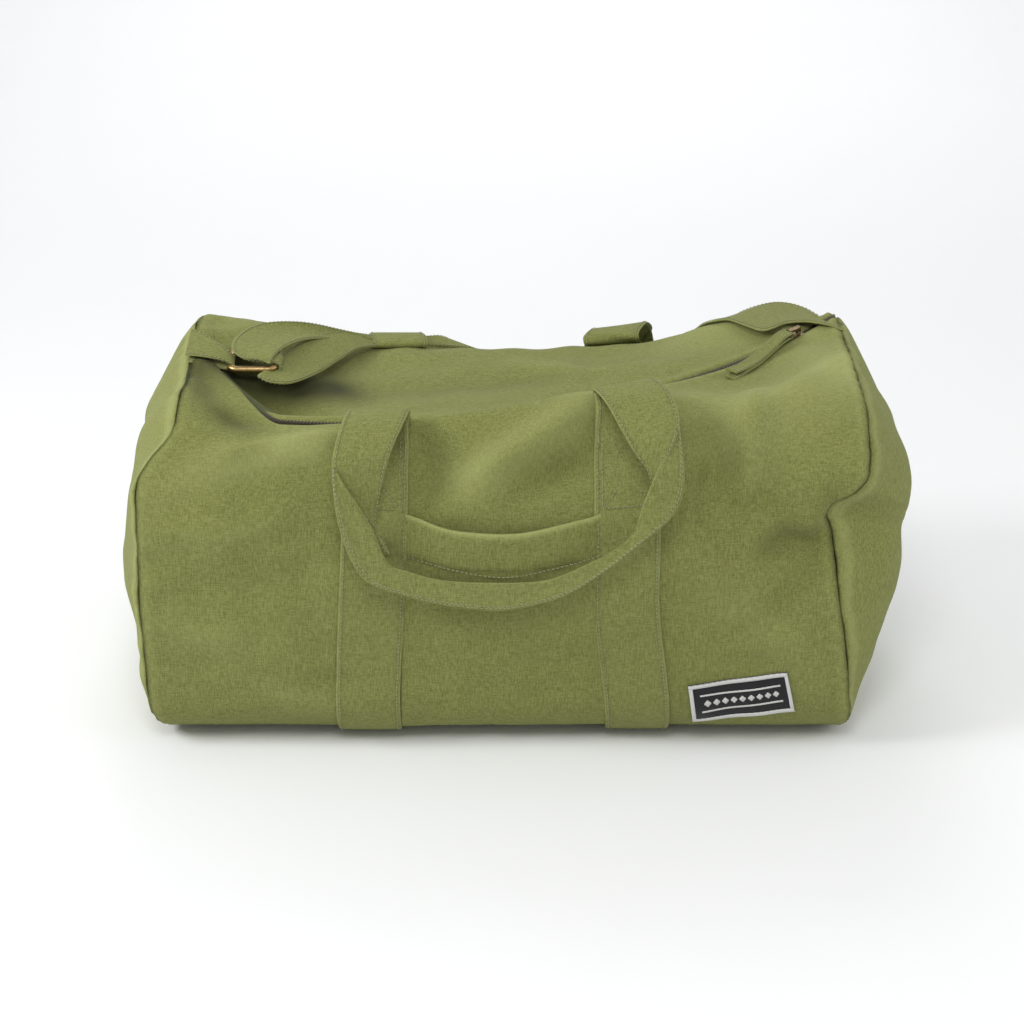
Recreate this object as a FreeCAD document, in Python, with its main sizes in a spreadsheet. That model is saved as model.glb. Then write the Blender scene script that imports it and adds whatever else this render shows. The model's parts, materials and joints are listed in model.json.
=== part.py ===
import FreeCAD, Part
import math
import os
import Sketcher

# Canvas duffel bag with two webbing handles, a curved top zip, a front patch pocket and a
# shoulder strap. Millimetres. X runs along the bag, the front faces -Y, +Z is up, and the
# origin is on the floor under the middle of the bag.

Vector = FreeCAD.Vector
Rotation = FreeCAD.Rotation
Placement = FreeCAD.Placement

DIMENSIONS = {
    "half_length": 265,      # middle of the bag to each end seam
    "level_half": 120,       # the top is level this far from the middle, then it rises
    "end_rise": 29,          # how much higher the top is at the end seams
    "end_bulge": 52,         # end caps stand out past their seams
    "half_width": 143,
    "base_lift": 2.8,        # the webbing under the bag keeps the cloth off the floor
    "top_height": 247,
    "low_corner": 45,
    "high_corner": 70,
    "cloth": 2,
    "webbing_width": 49,
    "webbing": 2.5,
    "gap": 0.3,              # between pieces that lie on each other
    "left_leg": -101,        # middle of the left pair of handle legs
    "right_leg": 88,
    "fold_height": 262,      # crease where a handle turns over
    "front_fold": -116,
    "rear_fold": 116,
    "fold_reach": 46,        # a hanging handle stands out this far from its crease
    "fold_drop": 36,
    "loop_drop": 146,        # crease to the bottom of a hanging handle
    "window_half": 205,      # the top opening in the main panel
    "window_front": -112,
    "window_rear": 95,
    "lid_left": 10,          # ends of the crease that the rear top panel turns on
    "lid_right": 118,
    "zip_bow": 508,          # radius of the zip's curve
    "zip_middle": -112,      # X of the foremost point of the curve
    "zip_front": -90,
    "zip_height": 249,
    "zip_tilt": 10.7,        # degrees, the curve's plane rises towards the rear
    "zip_channel": 13,       # between the two cloth edges
    "tape_width": 5.4,
    "coil_width": 2.4,
    "coil_tall": 2,
    "coil_split": 1.6,       # between the two rows, where the slider's post runs
    "pocket_height": 183,
    "pocket_foot": 60,
    "pocket_gape": 10,
    "patch_long": 80,
    "patch_tall": 32,
    "patch_thick": 1.2,
    "ring_long": 38,
    "ring_wide": 50,
    "ring_wire": 4,
    "strap_depth": 152,      # Y of the shoulder strap where it hangs behind the bag
    "strap_left": -30,
    "strap_right": 150,
}

ZIP_START, ZIP_END = -12.0, 45.6       # degrees along the zip's curve
LID_START, LID_END = -6.3, 38.0        # the stretch that opens
SLIDER_REST = 41.6
PULL_TURN = 8.0                        # the pull points this far off the zip line
PULL_PITCH = 8.0                       # and rises this much towards its free end

doc = FreeCAD.newDocument("duffel_bag")
sheet = doc.addObject("Spreadsheet::Sheet", "Sizes")
for row, (alias, number) in enumerate(DIMENSIONS.items(), start=1):
    sheet.set("A%d" % row, alias)
    sheet.set("B%d" % row, str(number))
    sheet.setAlias("B%d" % row, alias)
doc.recompute()

parts = {}


def size(alias):
    return float(sheet.get(alias))


def keep(obj, name):
    obj.Label = name
    parts[name] = obj
    return obj


def bind(obj, **expressions):
    for prop, expression in expressions.items():
        obj.setExpression(prop, expression)
    return obj


def plane(body, role):
    return next(f for f in body.Origin.OriginFeatures if f.Role == role)


def box(name, length, width, height, place):
    """A box centred on the placement's origin in X and Y, standing on it in Z."""
    obj = doc.addObject("Part::Box", name)
    bind(obj, Length=length, Width=width, Height=height)
    doc.recompute()
    shift = Placement(Vector(-obj.Length.Value / 2, -obj.Width.Value / 2, 0), Rotation())
    obj.Placement = place.multiply(shift)
    return obj


def boolean(kind, name, base, tool):
    obj = doc.addObject("Part::" + kind, name)
    obj.Base = base
    obj.Tool = tool
    obj.Refine = False
    return obj


def fuse(name, pieces):
    obj = doc.addObject("Part::MultiFuse", name)
    obj.Shapes = pieces
    obj.Refine = False
    return obj


def group(name, pieces):
    obj = doc.addObject("Part::Compound", name)
    obj.Links = pieces
    return obj


def at(x, y, z, rotation=None):
    return Placement(Vector(x, y, z), rotation or Rotation())


# ---- cross-sections of the bag -----------------------------------------------------------

def section(body, name, along, grow="0", rise="0"):
    """Rounded outline of the bag in a plane across X, grown outwards by an expression."""
    sketch = body.newObject("Sketcher::SketchObject", name)
    sketch.AttachmentSupport = [(plane(body, "YZ_Plane"), "")]
    sketch.MapMode = "FlatFace"
    sketch.setExpression("AttachmentOffset.Base.z", along)
    side, low, high, foot, top = 100.0, 30.0, 40.0, 10.0, 200.0

    def corner(y, z, radius, start):
        circle = Part.Circle(Vector(y, z, 0), Vector(0, 0, 1), radius)
        return Part.ArcOfCircle(circle, math.radians(start), math.radians(start + 90))

    sketch.addGeometry([
        Part.LineSegment(Vector(low - side, foot, 0), Vector(side - low, foot, 0)),
        corner(side - low, foot + low, low, -90),
        Part.LineSegment(Vector(side, foot + low, 0), Vector(side, top - high, 0)),
        corner(side - high, top - high, high, 0),
        Part.LineSegment(Vector(side - high, top, 0), Vector(high - side, top, 0)),
        corner(high - side, top - high, high, 90),
        Part.LineSegment(Vector(-side, top - high, 0), Vector(-side, foot + low, 0)),
        corner(low - side, foot + low, low, 180),
    ], False)
    rule = Sketcher.Constraint
    sketch.addConstraint([rule("Tangent", i, 2, (i + 1) % 8, 1) for i in range(8)])
    sketch.addConstraint([rule("Horizontal", 0), rule("Horizontal", 4), rule("Vertical", 2),
                          rule("Vertical", 6), rule("Equal", 1, 7), rule("Equal", 3, 5)])
    driven = [
        ("right", rule("DistanceX", -1, 1, 2, 1, side), "Sizes.half_width + " + grow),
        ("left", rule("DistanceX", 6, 1, -1, 1, side), "Sizes.half_width + " + grow),
        ("foot", rule("DistanceY", -1, 1, 0, 1, foot), "Sizes.base_lift - " + grow),
        ("top", rule("DistanceY", -1, 1, 4, 1, top), "Sizes.top_height + %s + %s" % (rise, grow)),
        ("low", rule("Radius", 1, low), "Sizes.low_corner + " + grow),
        ("high", rule("Radius", 3, high), "Sizes.high_corner + " + grow),
    ]
    for label, constraint, expression in driven:
        index = sketch.addConstraint(constraint)
        sketch.renameConstraint(index, label)
        sketch.setExpression("Constraints." + label, expression)
    doc.recompute()
    return sketch


def loft(name, sections):
    """Ruled loft through sections, each (along, grow, rise)."""
    body = doc.addObject("PartDesign::Body", name)
    sketches = [section(body, "%s_section_%d" % (name, i), *s) for i, s in enumerate(sections)]
    feature = body.newObject("PartDesign::AdditiveLoft", name + "_loft")
    feature.Profile = sketches[0]
    feature.Sections = [(sketch, [""]) for sketch in sketches[1:]]
    feature.Ruled = True
    body.Tip = feature
    doc.recompute()
    return body


def wrap(name, grow, inset="0"):
    """The bag's long body between the end seams."""
    end = "Sizes.half_length - " + inset
    return loft(name, [("-(%s)" % end, grow, "Sizes.end_rise"), ("-Sizes.level_half", grow, "0"),
                       ("Sizes.level_half", grow, "0"), (end, grow, "Sizes.end_rise")])


INSIDE = "(-Sizes.cloth)"
ON_CLOTH = "(Sizes.gap)"
WEBBING_TOP = "(Sizes.gap + Sizes.webbing)"
THREAD_TOP = "(Sizes.gap + Sizes.webbing + 0.6)"

# ---- main panel, end caps and their inner bindings -----------------------------------------

shell = boolean("Cut", "panel_shell", wrap("panel_outside", "0"), wrap("panel_inside", INSIDE))
window_middle = (size("window_front") + size("window_rear")) / 2
window = box("window", "2 * Sizes.window_half", "Sizes.window_rear - Sizes.window_front", "200",
             at(0, window_middle, 150))
keep(boolean("Cut", "panel_cut", shell, window), "main_panel")

for side, sign in (("left", "-"), ("right", "")):
    turn = 1 if sign == "" else -1
    seam = sign + "Sizes.half_length"

    def dome(name, back, grow):
        steps = [("0", "0"), ("0.5", "8"), ("0.82", "22"), ("1", "40")]
        profile = [("%s(Sizes.half_length + %s * (Sizes.end_bulge - %s))" % (sign, reach, back),
                    "(%s - %s)" % (grow, shrink), "Sizes.end_rise") for reach, shrink in steps]
        return loft(name, profile)

    outer = dome("cap_outside_" + side, "0", "0")
    inner = dome("cap_inside_" + side, "Sizes.cloth", INSIDE)
    keep(boolean("Cut", "cap_" + side, outer, inner), "end_cap_" + side)

    def binding_tube(name, grow):
        near = "%s(Sizes.half_length - 18)" % sign
        far = "%s(Sizes.half_length - 1)" % sign
        sloped = "Sizes.end_rise * (Sizes.half_length - 18 - Sizes.level_half) / " \
                 "(Sizes.half_length - Sizes.level_half)"
        return loft(name, [(near, grow, sloped), (far, grow, sloped)])

    outer = binding_tube("binding_outside_" + side, "(-Sizes.cloth - 0.5)")
    inner = binding_tube("binding_inside_" + side, "(-Sizes.cloth - 1.7)")
    keep(boolean("Cut", "binding_" + side, outer, inner), "seam_binding_" + side)

# ---- webbing round the bag ------------------------------------------------------------------

RISER_FOOT = 232                        # inside the leg's webbing on the bag's upper corner
RISER_SHORT = 5                         # a riser ends this far below the handle's crease
band = boolean("Cut", "band", wrap("band_outside", WEBBING_TOP), wrap("band_inside", ON_CLOTH))
crown = box("crown", "2 * Sizes.half_length", "Sizes.rear_fold - Sizes.front_fold", "200",
            at(0, (size("rear_fold") + size("front_fold")) / 2, 180))
open_band = boolean("Cut", "open_band", band, crown)
for side in ("left", "right"):
    middle = size(side + "_leg")
    slab = box("leg_slab_" + side, "Sizes.webbing_width", "400", "300", at(middle, 0, -20))
    girth = boolean("Common", "girth_wrap_" + side, open_band, slab)
    risers = []
    for end, inward in (("front", 1), ("rear", -1)):
        fold = size(end + "_fold")
        risers.append(box("riser_%s_%s" % (side, end), "Sizes.webbing_width", "Sizes.webbing",
                          "Sizes.fold_height - %d - %d" % (RISER_SHORT, RISER_FOOT),
                          at(middle, fold - inward * size("webbing") / 2, RISER_FOOT)))
    keep(fuse("girth_" + side, [girth] + risers), "girth_strap_" + side)

# X-box stitching where each handle leg leaves the bag, standing on the webbing
thread_band = boolean("Cut", "thread_band", wrap("thread_outside", THREAD_TOP),
                      wrap("thread_inside", WEBBING_TOP))
BOX_LOW, BOX_TALL, BOX_WIDE, THREAD = 186, 34, 38, 1.2
bars = []
for side in ("left", "right"):
    middle = size(side + "_leg")
    centre = BOX_LOW + BOX_TALL / 2
    slope = math.degrees(math.atan2(BOX_TALL, BOX_WIDE))
    diagonal = math.hypot(BOX_TALL, BOX_WIDE)
    strokes = [(BOX_WIDE, 0, 0, -BOX_TALL / 2), (BOX_WIDE, 0, 0, BOX_TALL / 2),
               (BOX_TALL, 90, -BOX_WIDE / 2, 0), (BOX_TALL, 90, BOX_WIDE / 2, 0),
               (diagonal, slope, 0, 0), (diagonal, -slope, 0, 0)]
    for number, (long, angle, dx, dz) in enumerate(strokes):
        tilt = Rotation(Vector(0, -1, 0), angle)
        place = at(middle + dx, 0, centre + dz, tilt).multiply(at(0, 0, -THREAD / 2))
        bars.append(box("stroke_%s_%d" % (side, number), str(long), "400", str(THREAD), place))
pattern = fuse("x_box_pattern", bars)
keep(boolean("Common", "x_boxes", thread_band, pattern), "handle_stitching")

# ---- front pocket and label patch -----------------------------------------------------------

def profile_pad(name, points, width, across="YZ_Plane", shift=0.0):
    """Pad a closed outline, centred on its plane and moved along its normal by shift."""
    body = doc.addObject("PartDesign::Body", name)
    sketch = body.newObject("Sketcher::SketchObject", name + "_outline")
    sketch.AttachmentSupport = [(plane(body, across), "")]
    sketch.MapMode = "FlatFace"
    corners = [Vector(u, v, 0) for u, v in points]
    for start, finish in zip(corners, corners[1:] + corners[:1]):
        sketch.addGeometry(Part.LineSegment(start, finish), False)
    rule = Sketcher.Constraint
    count = len(corners)
    sketch.addConstraint([rule("Coincident", i, 2, (i + 1) % count, 1) for i in range(count)])
    sketch.addConstraint([rule("Block", i) for i in range(count)])
    pad = body.newObject("PartDesign::Pad", name + "_pad")
    pad.Profile = sketch
    pad.setExpression("Length", width)
    pad.Midplane = True
    body.Tip = pad
    body.Placement = at(*(plane_normal(across) * shift))
    doc.recompute()
    return body


def plane_normal(role):
    return {"YZ_Plane": Vector(1, 0, 0), "XZ_Plane": Vector(0, -1, 0)}[role]


face = size("half_width") + size("gap")
cloth = size("cloth")
gape = size("pocket_gape")
pocket_middle = (size("left_leg") + size("right_leg")) / 2
between_legs = "(Sizes.right_leg - Sizes.left_leg - Sizes.webbing_width - 1)"
foot, head = size("pocket_foot"), size("pocket_height")
pocket_outline = [(-face, foot), (-face - cloth, foot), (-face - gape - cloth, head), (-face, head)]
hollow_outline = [(-face + 1, foot + 4), (-face, foot + 4), (-face - gape, head + 1), (-face + 1, head + 1)]
outer = profile_pad("pocket_outside", pocket_outline, between_legs, shift=pocket_middle)
inner = profile_pad("pocket_inside", hollow_outline, between_legs + " - 3", shift=pocket_middle)
keep(boolean("Cut", "pocket", outer, inner), "front_pocket")

# the turned-down hem is a second layer along the pocket's upper edge, leaning out with it
HEM_TALL, HEM_OUT = 28, 0.65
lean = math.degrees(math.atan2(gape, head - foot))
hem_place = at(pocket_middle, -face - gape - cloth - HEM_OUT, head - HEM_TALL,
               Rotation(Vector(1, 0, 0), lean)).multiply(at(0, 2.1, 0))
keep(box("hem", between_legs, "1", str(HEM_TALL), hem_place), "pocket_hem")

PATCH_X, PATCH_Z, PATCH_TURN = 175, 50, 7
patch_place = at(PATCH_X, -face - size("patch_thick") / 2, PATCH_Z,
                 Rotation(Vector(0, -1, 0), PATCH_TURN))
patch_place = patch_place.multiply(at(0, 0, -size("patch_tall") / 2))
keep(box("patch", "Sizes.patch_long", "Sizes.patch_thick", "Sizes.patch_tall", patch_place), "label_patch")

# ---- the zip: everything follows one tilted circle ------------------------------------------

bow = size("zip_bow")
tilt = math.radians(size("zip_tilt"))
zip_centre = Vector(size("zip_middle"), size("zip_front") + bow * math.cos(tilt),
                    size("zip_height") + bow * math.sin(tilt))
zip_frame = Placement(zip_centre, Rotation(Vector(1, 0, 0), size("zip_tilt")))
zip_axis = zip_frame.Rotation.multVec(Vector(0, 0, 1))


def on_zip(degrees, offset=0.0, lift=0.0):
    """Point of the zip's curve, offset outwards (to the front) and lifted off it."""
    turn = math.radians(degrees)
    local = Vector((bow + offset) * math.sin(turn), -(bow + offset) * math.cos(turn), lift)
    return zip_frame.multVec(local)


def zip_strip(name, inner, outer, low, high, start, finish):
    """A strip along the zip's curve, between two offsets and two heights."""
    rings = []
    for label, offset in (("outer", outer), ("inner", inner)):
        ring = doc.addObject("Part::Cylinder", "%s_%s" % (name, label))
        bind(ring, Radius="Sizes.zip_bow + %s" % offset, Height="%s - (%s)" % (high, low))
        ring.Angle = finish - start
        spin = Rotation(Vector(0, 0, 1), start - 90)
        doc.recompute()
        height = float(low)
        ring.Placement = zip_frame.multiply(at(0, 0, height, spin))
        rings.append(ring)
    return boolean("Cut", name, rings[0], rings[1])


split = "Sizes.coil_split / 2"
FRONT_TAPE = (split, "Sizes.coil_split / 2 + Sizes.tape_width", "-1.1", "-0.3")
REAR_TAPE = ("-Sizes.coil_split / 2 - Sizes.tape_width", "-" + split, "-1.1", "-0.3")
FRONT_COIL = (split, "Sizes.coil_split / 2 + Sizes.coil_width", "-0.3", "Sizes.coil_tall")
REAR_COIL = ("-Sizes.coil_split / 2 - Sizes.coil_width", "-" + split, "-0.3", "Sizes.coil_tall")
keep(zip_strip("tape_front", *FRONT_TAPE, ZIP_START, ZIP_END), "zip_tape_front")
keep(zip_strip("coil_front", *FRONT_COIL, ZIP_START, ZIP_END), "zip_coil_front")
keep(zip_strip("tape_rear", *REAR_TAPE, LID_START, LID_END), "zip_tape_rear")
keep(zip_strip("coil_rear", *REAR_COIL, LID_START, LID_END), "zip_coil_rear")
for label, strip in (("tape", REAR_TAPE), ("coil", REAR_COIL)):
    ends = [zip_strip("%s_end_%d" % (label, i), *strip, start, finish)
            for i, (start, finish) in enumerate(((ZIP_START, LID_START - 0.1), (LID_END + 0.1, ZIP_END)))]
    keep(group(label + "_ends", ends), "zip_%s_ends" % label)

stops = []
for number, angle in enumerate((ZIP_START + 0.4, ZIP_END - 0.3)):
    place = zip_frame.multiply(at(0, 0, 0, Rotation(Vector(0, 0, 1), angle))).multiply(at(0, -bow, 2.1))
    stops.append(box("stop_%d" % number, "3", "7", "1.2", place))
keep(group("stops", stops), "zip_stops")

# ---- slider with its ring and cloth pull ---------------------------------------------------

slider_place = zip_frame.multiply(at(0, 0, 0, Rotation(Vector(0, 0, 1), SLIDER_REST)))
slider_place = slider_place.multiply(at(0, -bow, 0))


def on_slider(x, y, z, rotation=None):
    return slider_place.multiply(at(x, y, z, rotation))


slider_pieces = [
    box("slider_top", "15", "10", "1.4", on_slider(0, 0, 2.4)),
    box("slider_post", "7", "0.9", "5.4", on_slider(3, 0, -2.6)),
    box("slider_foot", "13", "9", "1.2", on_slider(0, 0, -2.6)),
    box("bridge_front", "2", "3.5", "4.6", on_slider(5, 0, 3.6)),
    box("bridge_back", "2", "3.5", "4.6", on_slider(-5, 0, 3.6)),
    box("bridge_top", "12", "3.5", "1.6", on_slider(0, 0, 8.0)),
]
keep(fuse("slider", slider_pieces), "zip_slider")

# The pull lies towards the left of the slider, turned a little to the front. Its ring goes
# round the bridge's top bar, and the cloth pull is looped over the ring's far side.
pull_frame = on_slider(0, 0, 6.9, Rotation(Vector(0, 0, 1), 180 + PULL_TURN))
pull_frame = pull_frame.multiply(at(0, 0, 0, Rotation(Vector(0, 1, 0), -PULL_PITCH)))
RING_REACH, RING_HALF, RING_WIRE = 13.0, 5.0, 0.8


def closed_wire_ring(name, reach, half, wire, radius, place):
    """A rounded ring of round wire, from the origin to reach along X, in the XY plane."""
    a, b = 0.0, reach
    straight = [Vector(a + radius, -half, 0), Vector(b - radius, -half, 0),
                Vector(b, radius - half, 0), Vector(b, half - radius, 0),
                Vector(b - radius, half, 0), Vector(a + radius, half, 0),
                Vector(a, half - radius, 0), Vector(a, radius - half, 0)]
    cut = radius * (1 - math.sqrt(0.5))
    bends = [Vector(b - cut, cut - half, 0), Vector(b - cut, half - cut, 0),
             Vector(a + cut, half - cut, 0), Vector(a + cut, cut - half, 0)]
    edges = []
    for i in range(4):
        edges.append(Part.LineSegment(straight[2 * i], straight[2 * i + 1]).toShape())
        edges.append(Part.Arc(straight[2 * i + 1], bends[i], straight[(2 * i + 2) % 8]).toShape())
    path = Part.Wire(edges)
    circle = Part.Wire(Part.Circle(straight[0], Vector(1, 0, 0), wire).toShape())
    ring = doc.addObject("Part::Feature", name)
    ring.Shape = path.makePipeShell([circle], True, False)
    ring.Placement = place
    return ring


keep(closed_wire_ring("slider_ring", RING_REACH, RING_HALF, RING_WIRE, 2.5,
                      pull_frame.multiply(at(-1.0, 0, 0))), "pull_ring")

PULL_LONG, PULL_WIDE, PULL_THICK = 62.0, 6.6, 1.4
pull_x = RING_REACH - 1.0
pull_pieces = [
    box("pull_upper", str(PULL_LONG), str(PULL_WIDE), str(PULL_THICK),
        pull_frame.multiply(at(pull_x + PULL_LONG / 2, 0, 1.3))),
    box("pull_lower", str(PULL_LONG), str(PULL_WIDE), str(PULL_THICK),
        pull_frame.multiply(at(pull_x + PULL_LONG / 2, 0, -1.3 - PULL_THICK))),
    box("pull_turn", str(PULL_THICK), str(PULL_WIDE), str(2.6 + 2 * PULL_THICK),
        pull_frame.multiply(at(pull_x - 1.3 - PULL_THICK / 2, 0, -1.3 - PULL_THICK))),
    box("pull_sewn", str(PULL_LONG - 4), str(PULL_WIDE), "2.6",
        pull_frame.multiply(at(pull_x + 4 + (PULL_LONG - 4) / 2, 0, -1.3))),
    box("pull_upper_start", "3", str(PULL_WIDE), str(PULL_THICK),
        pull_frame.multiply(at(pull_x - 1.3, 0, 1.3))),
    box("pull_lower_start", "3", str(PULL_WIDE), str(PULL_THICK),
        pull_frame.multiply(at(pull_x - 1.3, 0, -1.3 - PULL_THICK))),
]
keep(fuse("pull", pull_pieces), "pull_tab")

# ---- top panels beside the zip ---------------------------------------------------------------

def sheet_between(name, edge_a, edge_b):
    """A cloth sheet ruled between two edges and thickened straight up."""
    surface = Part.makeRuledSurface(edge_a, edge_b)
    solid = surface.extrude(Vector(0, 0, size("cloth")))
    obj = doc.addObject("Part::Feature", name)
    obj.Shape = solid if solid.Volume > 0 else solid.reversed()
    return obj


def zip_edge(start, finish, offset):
    points = [on_zip(a, offset) for a in (start, (start + finish) / 2, finish)]
    return Part.Arc(*points).toShape()


def line(a, b):
    return Part.LineSegment(a, b).toShape()


channel = size("zip_channel") / 2
side_x = size("window_half") - 1
edge_angle = math.degrees(math.asin((side_x - size("zip_middle")) / (bow + channel)))
left_angle = -math.degrees(math.asin((side_x + size("zip_middle")) / (bow + channel)))
front_y = size("window_front") + 1
front_edge = Part.Arc(Vector(-side_x, front_y, 251), Vector(0, front_y, 234),
                      Vector(side_x, front_y, 251)).toShape()
keep(sheet_between("front_sheet", zip_edge(left_angle, edge_angle, channel), front_edge),
     "front_top_panel")

rear_y = size("window_rear") - 1
crease_z = 243.0
crease_left = Vector(size("lid_left"), rear_y, crease_z)
crease_right = Vector(size("lid_right"), rear_y, crease_z)
keep(sheet_between("lid_sheet", zip_edge(LID_START, LID_END, -channel), line(crease_left, crease_right)),
     "rear_top_panel")

slack = 2.0
top_corners = (("left", LID_START, crease_left, -1), ("right", LID_END, crease_right, 1))
for side, angle, crease, outward in top_corners:
    window_x = outward * side_x
    corner_angle = math.degrees(math.asin((window_x - size("zip_middle")) / (bow - channel)))
    shift = Vector(outward * slack, 0, 0)
    keep(sheet_between("corner_" + side,
                       line(on_zip(corner_angle, -channel), Vector(window_x, rear_y, 258)),
                       line(on_zip(angle, -channel) + shift, crease + shift)), "top_corner_" + side)

# ---- handles: one bent sheet each, hanging from a crease --------------------------------------

reach, drop, low = size("fold_reach"), size("fold_drop"), size("loop_drop")
thick = size("webbing")
half_span = (size("right_leg") - size("left_leg")) / 2
half_webbing = size("webbing_width") / 2
for end, outward in (("front", -1), ("rear", 1)):
    fold_y = size(end + "_fold")
    fold_z = size("fold_height")
    loop_x = half_span + half_webbing
    open_x = half_span - half_webbing
    right_half = [(40, -low), (loop_x - 45, 16 - low), (loop_x - 8, -86), (loop_x, -drop)]
    inner_half = [(open_x, -drop), (open_x - 6, -76), (open_x - 30, 34 - low)]
    outline = [(-x, z) for x, z in reversed(right_half)] + right_half
    outline += inner_half + [(-x, z) for x, z in reversed(inner_half)]
    loop = profile_pad("%s_loop" % end, outline, "Sizes.webbing", across="XZ_Plane")
    loop.Placement = at(pocket_middle, fold_y + outward * reach, fold_z)
    arms = []
    for side in (-1, 1):
        bend = math.hypot(reach, drop)
        angle = math.degrees(math.atan2(-drop, outward * reach))
        place = at(pocket_middle + side * half_span, fold_y, fold_z, Rotation(Vector(1, 0, 0), angle))
        place = place.multiply(at(0, bend / 2 + 2, -thick / 2))
        arms.append(box("%s_arm_%d" % (end, side), "Sizes.webbing_width", str(bend), "Sizes.webbing",
                        place))
    keep(fuse(end + "_handle_fuse", [loop] + arms), end + "_handle")

# ---- ring tab, ring and shoulder strap -------------------------------------------------------

RING_X, RING_Y, RING_Z = -219.0, 2.0, 277.0
wire = size("ring_wire") / 2
keep(closed_wire_ring("left_ring", size("ring_long") - 2 * wire, size("ring_wide") / 2 - wire, wire, 7,
                      at(RING_X, RING_Y, RING_Z)), "strap_ring")


def sewn_loop(name, x, width, tail, turn):
    """A strip folded round a ring bar at x, its two layers sewn together along the tail."""
    place = at(x, RING_Y, RING_Z)
    bore, wall = wire + 0.6, 1.6
    pieces = []
    for label, radius in (("outside", bore + wall), ("inside", bore)):
        tube = doc.addObject("Part::Cylinder", "%s_%s" % (name, label))
        tube.Radius = radius
        tube.setExpression("Height", width)
        doc.recompute()
        tube.Placement = place.multiply(at(0, tube.Height.Value / 2, 0, Rotation(Vector(1, 0, 0), 90)))
        pieces.append(tube)
    strip = box(name + "_tail", str(tail), width, "2.4",
                place.multiply(at(turn * (bore + tail / 2), 0, -1.2)))
    body = fuse(name + "_body", [pieces[0], strip])
    return boolean("Cut", name, body, pieces[1])


keep(sewn_loop("ring_tab", RING_X, "34", 40, -1), "strap_tab")
keep(sewn_loop("strap_end", RING_X + size("ring_long") - 2 * wire, "34", 26, 1), "strap_ring_loop")


def webbing_run(name, start, finish):
    """A flat run of webbing between two points, its width level and across the run."""
    along = finish - start
    level = Vector(-along.y, along.x, 0)
    if level.Length < 0.01:
        level = Vector(0, 1, 0)
    frame = Rotation(along, level, Vector(), "XYZ")
    place = Placement(start + along / 2, frame).multiply(at(0, 0, -thick / 2))
    return box(name, str(along.Length + thick), "Sizes.webbing_width", "Sizes.webbing", place)


depth = size("strap_depth")
left_x, right_x = size("strap_left"), size("strap_right")
edge_z, FLOOR_GAP = 252.0, 12.0
left_route = [Vector(-147, 17, 279), Vector(-52, 98, 268), Vector(left_x, depth - 8, edge_z)]
right_route = [Vector(256, 98, 280), Vector(205, 106, 283), Vector(170, 128, 266),
               Vector(right_x, depth - 8, edge_z)]
pieces = []
for label, route in (("left", left_route), ("right", right_route)):
    for i, (start, finish) in enumerate(zip(route, route[1:])):
        pieces.append(webbing_run("run_%s_%d" % (label, i), start, finish))
for label, x in (("left", left_x), ("right", right_x)):
    pieces.append(box("hang_" + label, "Sizes.webbing_width", "Sizes.webbing",
                      str(edge_z + 2 - FLOOR_GAP), at(x, depth, FLOOR_GAP)))
pieces.append(box("hang_low", str(right_x - left_x), "Sizes.webbing", "Sizes.webbing_width",
                  at((left_x + right_x) / 2, depth, FLOOR_GAP)))
keep(fuse("strap", pieces), "shoulder_strap")

# Length adjuster: the strap lies between the frame's end bars and its middle bar
ADJUST_Z, ADJUST_TALL, SIDE_WALL = 150.0, 30.0, 4.0
side_gap = size("webbing_width") / 2 + 1 + SIDE_WALL / 2
front_gap = thick / 2 + 0.5
frame_pieces = [box("adjust_side_%d" % s, str(SIDE_WALL), "11", str(ADJUST_TALL),
                    at(left_x + s * side_gap, depth, ADJUST_Z - ADJUST_TALL / 2)) for s in (-1, 1)]
for s in (-1, 1):
    frame_pieces.append(box("adjust_end_%d" % s, str(2 * side_gap), "3.5", "4",
                            at(left_x, depth + front_gap + 1.75, ADJUST_Z + s * 13 - 2)))
keep(fuse("adjust_frame", frame_pieces), "adjuster_frame")
middle_bar = doc.addObject("Part::Cylinder", "adjust_bar")
middle_bar.Radius = 1.9
middle_bar.Height = 2 * side_gap - SIDE_WALL
middle_bar.Placement = at(left_x - side_gap + SIDE_WALL / 2, depth - front_gap - 1.9, ADJUST_Z,
                          Rotation(Vector(0, 1, 0), 90))
keep(middle_bar, "adjuster_bar")

# ---- check and write --------------------------------------------------------------------------

doc.recompute()
for obj in doc.Objects:
    if "Invalid" in obj.State or "Error" in obj.State:
        raise RuntimeError("%s did not compute: %s" % (obj.Name, obj.State))
os.makedirs("parts", exist_ok=True)
for name, obj in parts.items():
    shape = obj.Shape
    if shape.isNull() or not shape.isValid() or shape.Volume <= 0:
        raise RuntimeError("%s has no valid solid" % name)
    shape.exportStep("parts/%s.step" % name)
    print("%-20s solids %2d  volume %9.0f  box %s" % (
        name, len(shape.Solids), shape.Volume,
        [round(v) for v in (shape.BoundBox.XMin, shape.BoundBox.XMax, shape.BoundBox.YMin,
                            shape.BoundBox.YMax, shape.BoundBox.ZMin, shape.BoundBox.ZMax)]))
print("zip axis point", [round(v, 2) for v in zip_centre], "direction", [round(v, 5) for v in zip_axis])
print("pull axes from", [round(v, 2) for v in pull_frame.Base],
      "across", [round(v, 5) for v in pull_frame.Rotation.multVec(Vector(0, 1, 0))],
      "ring far side", [round(v, 2) for v in pull_frame.multVec(Vector(RING_REACH - 1, 0, 0))])
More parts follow.
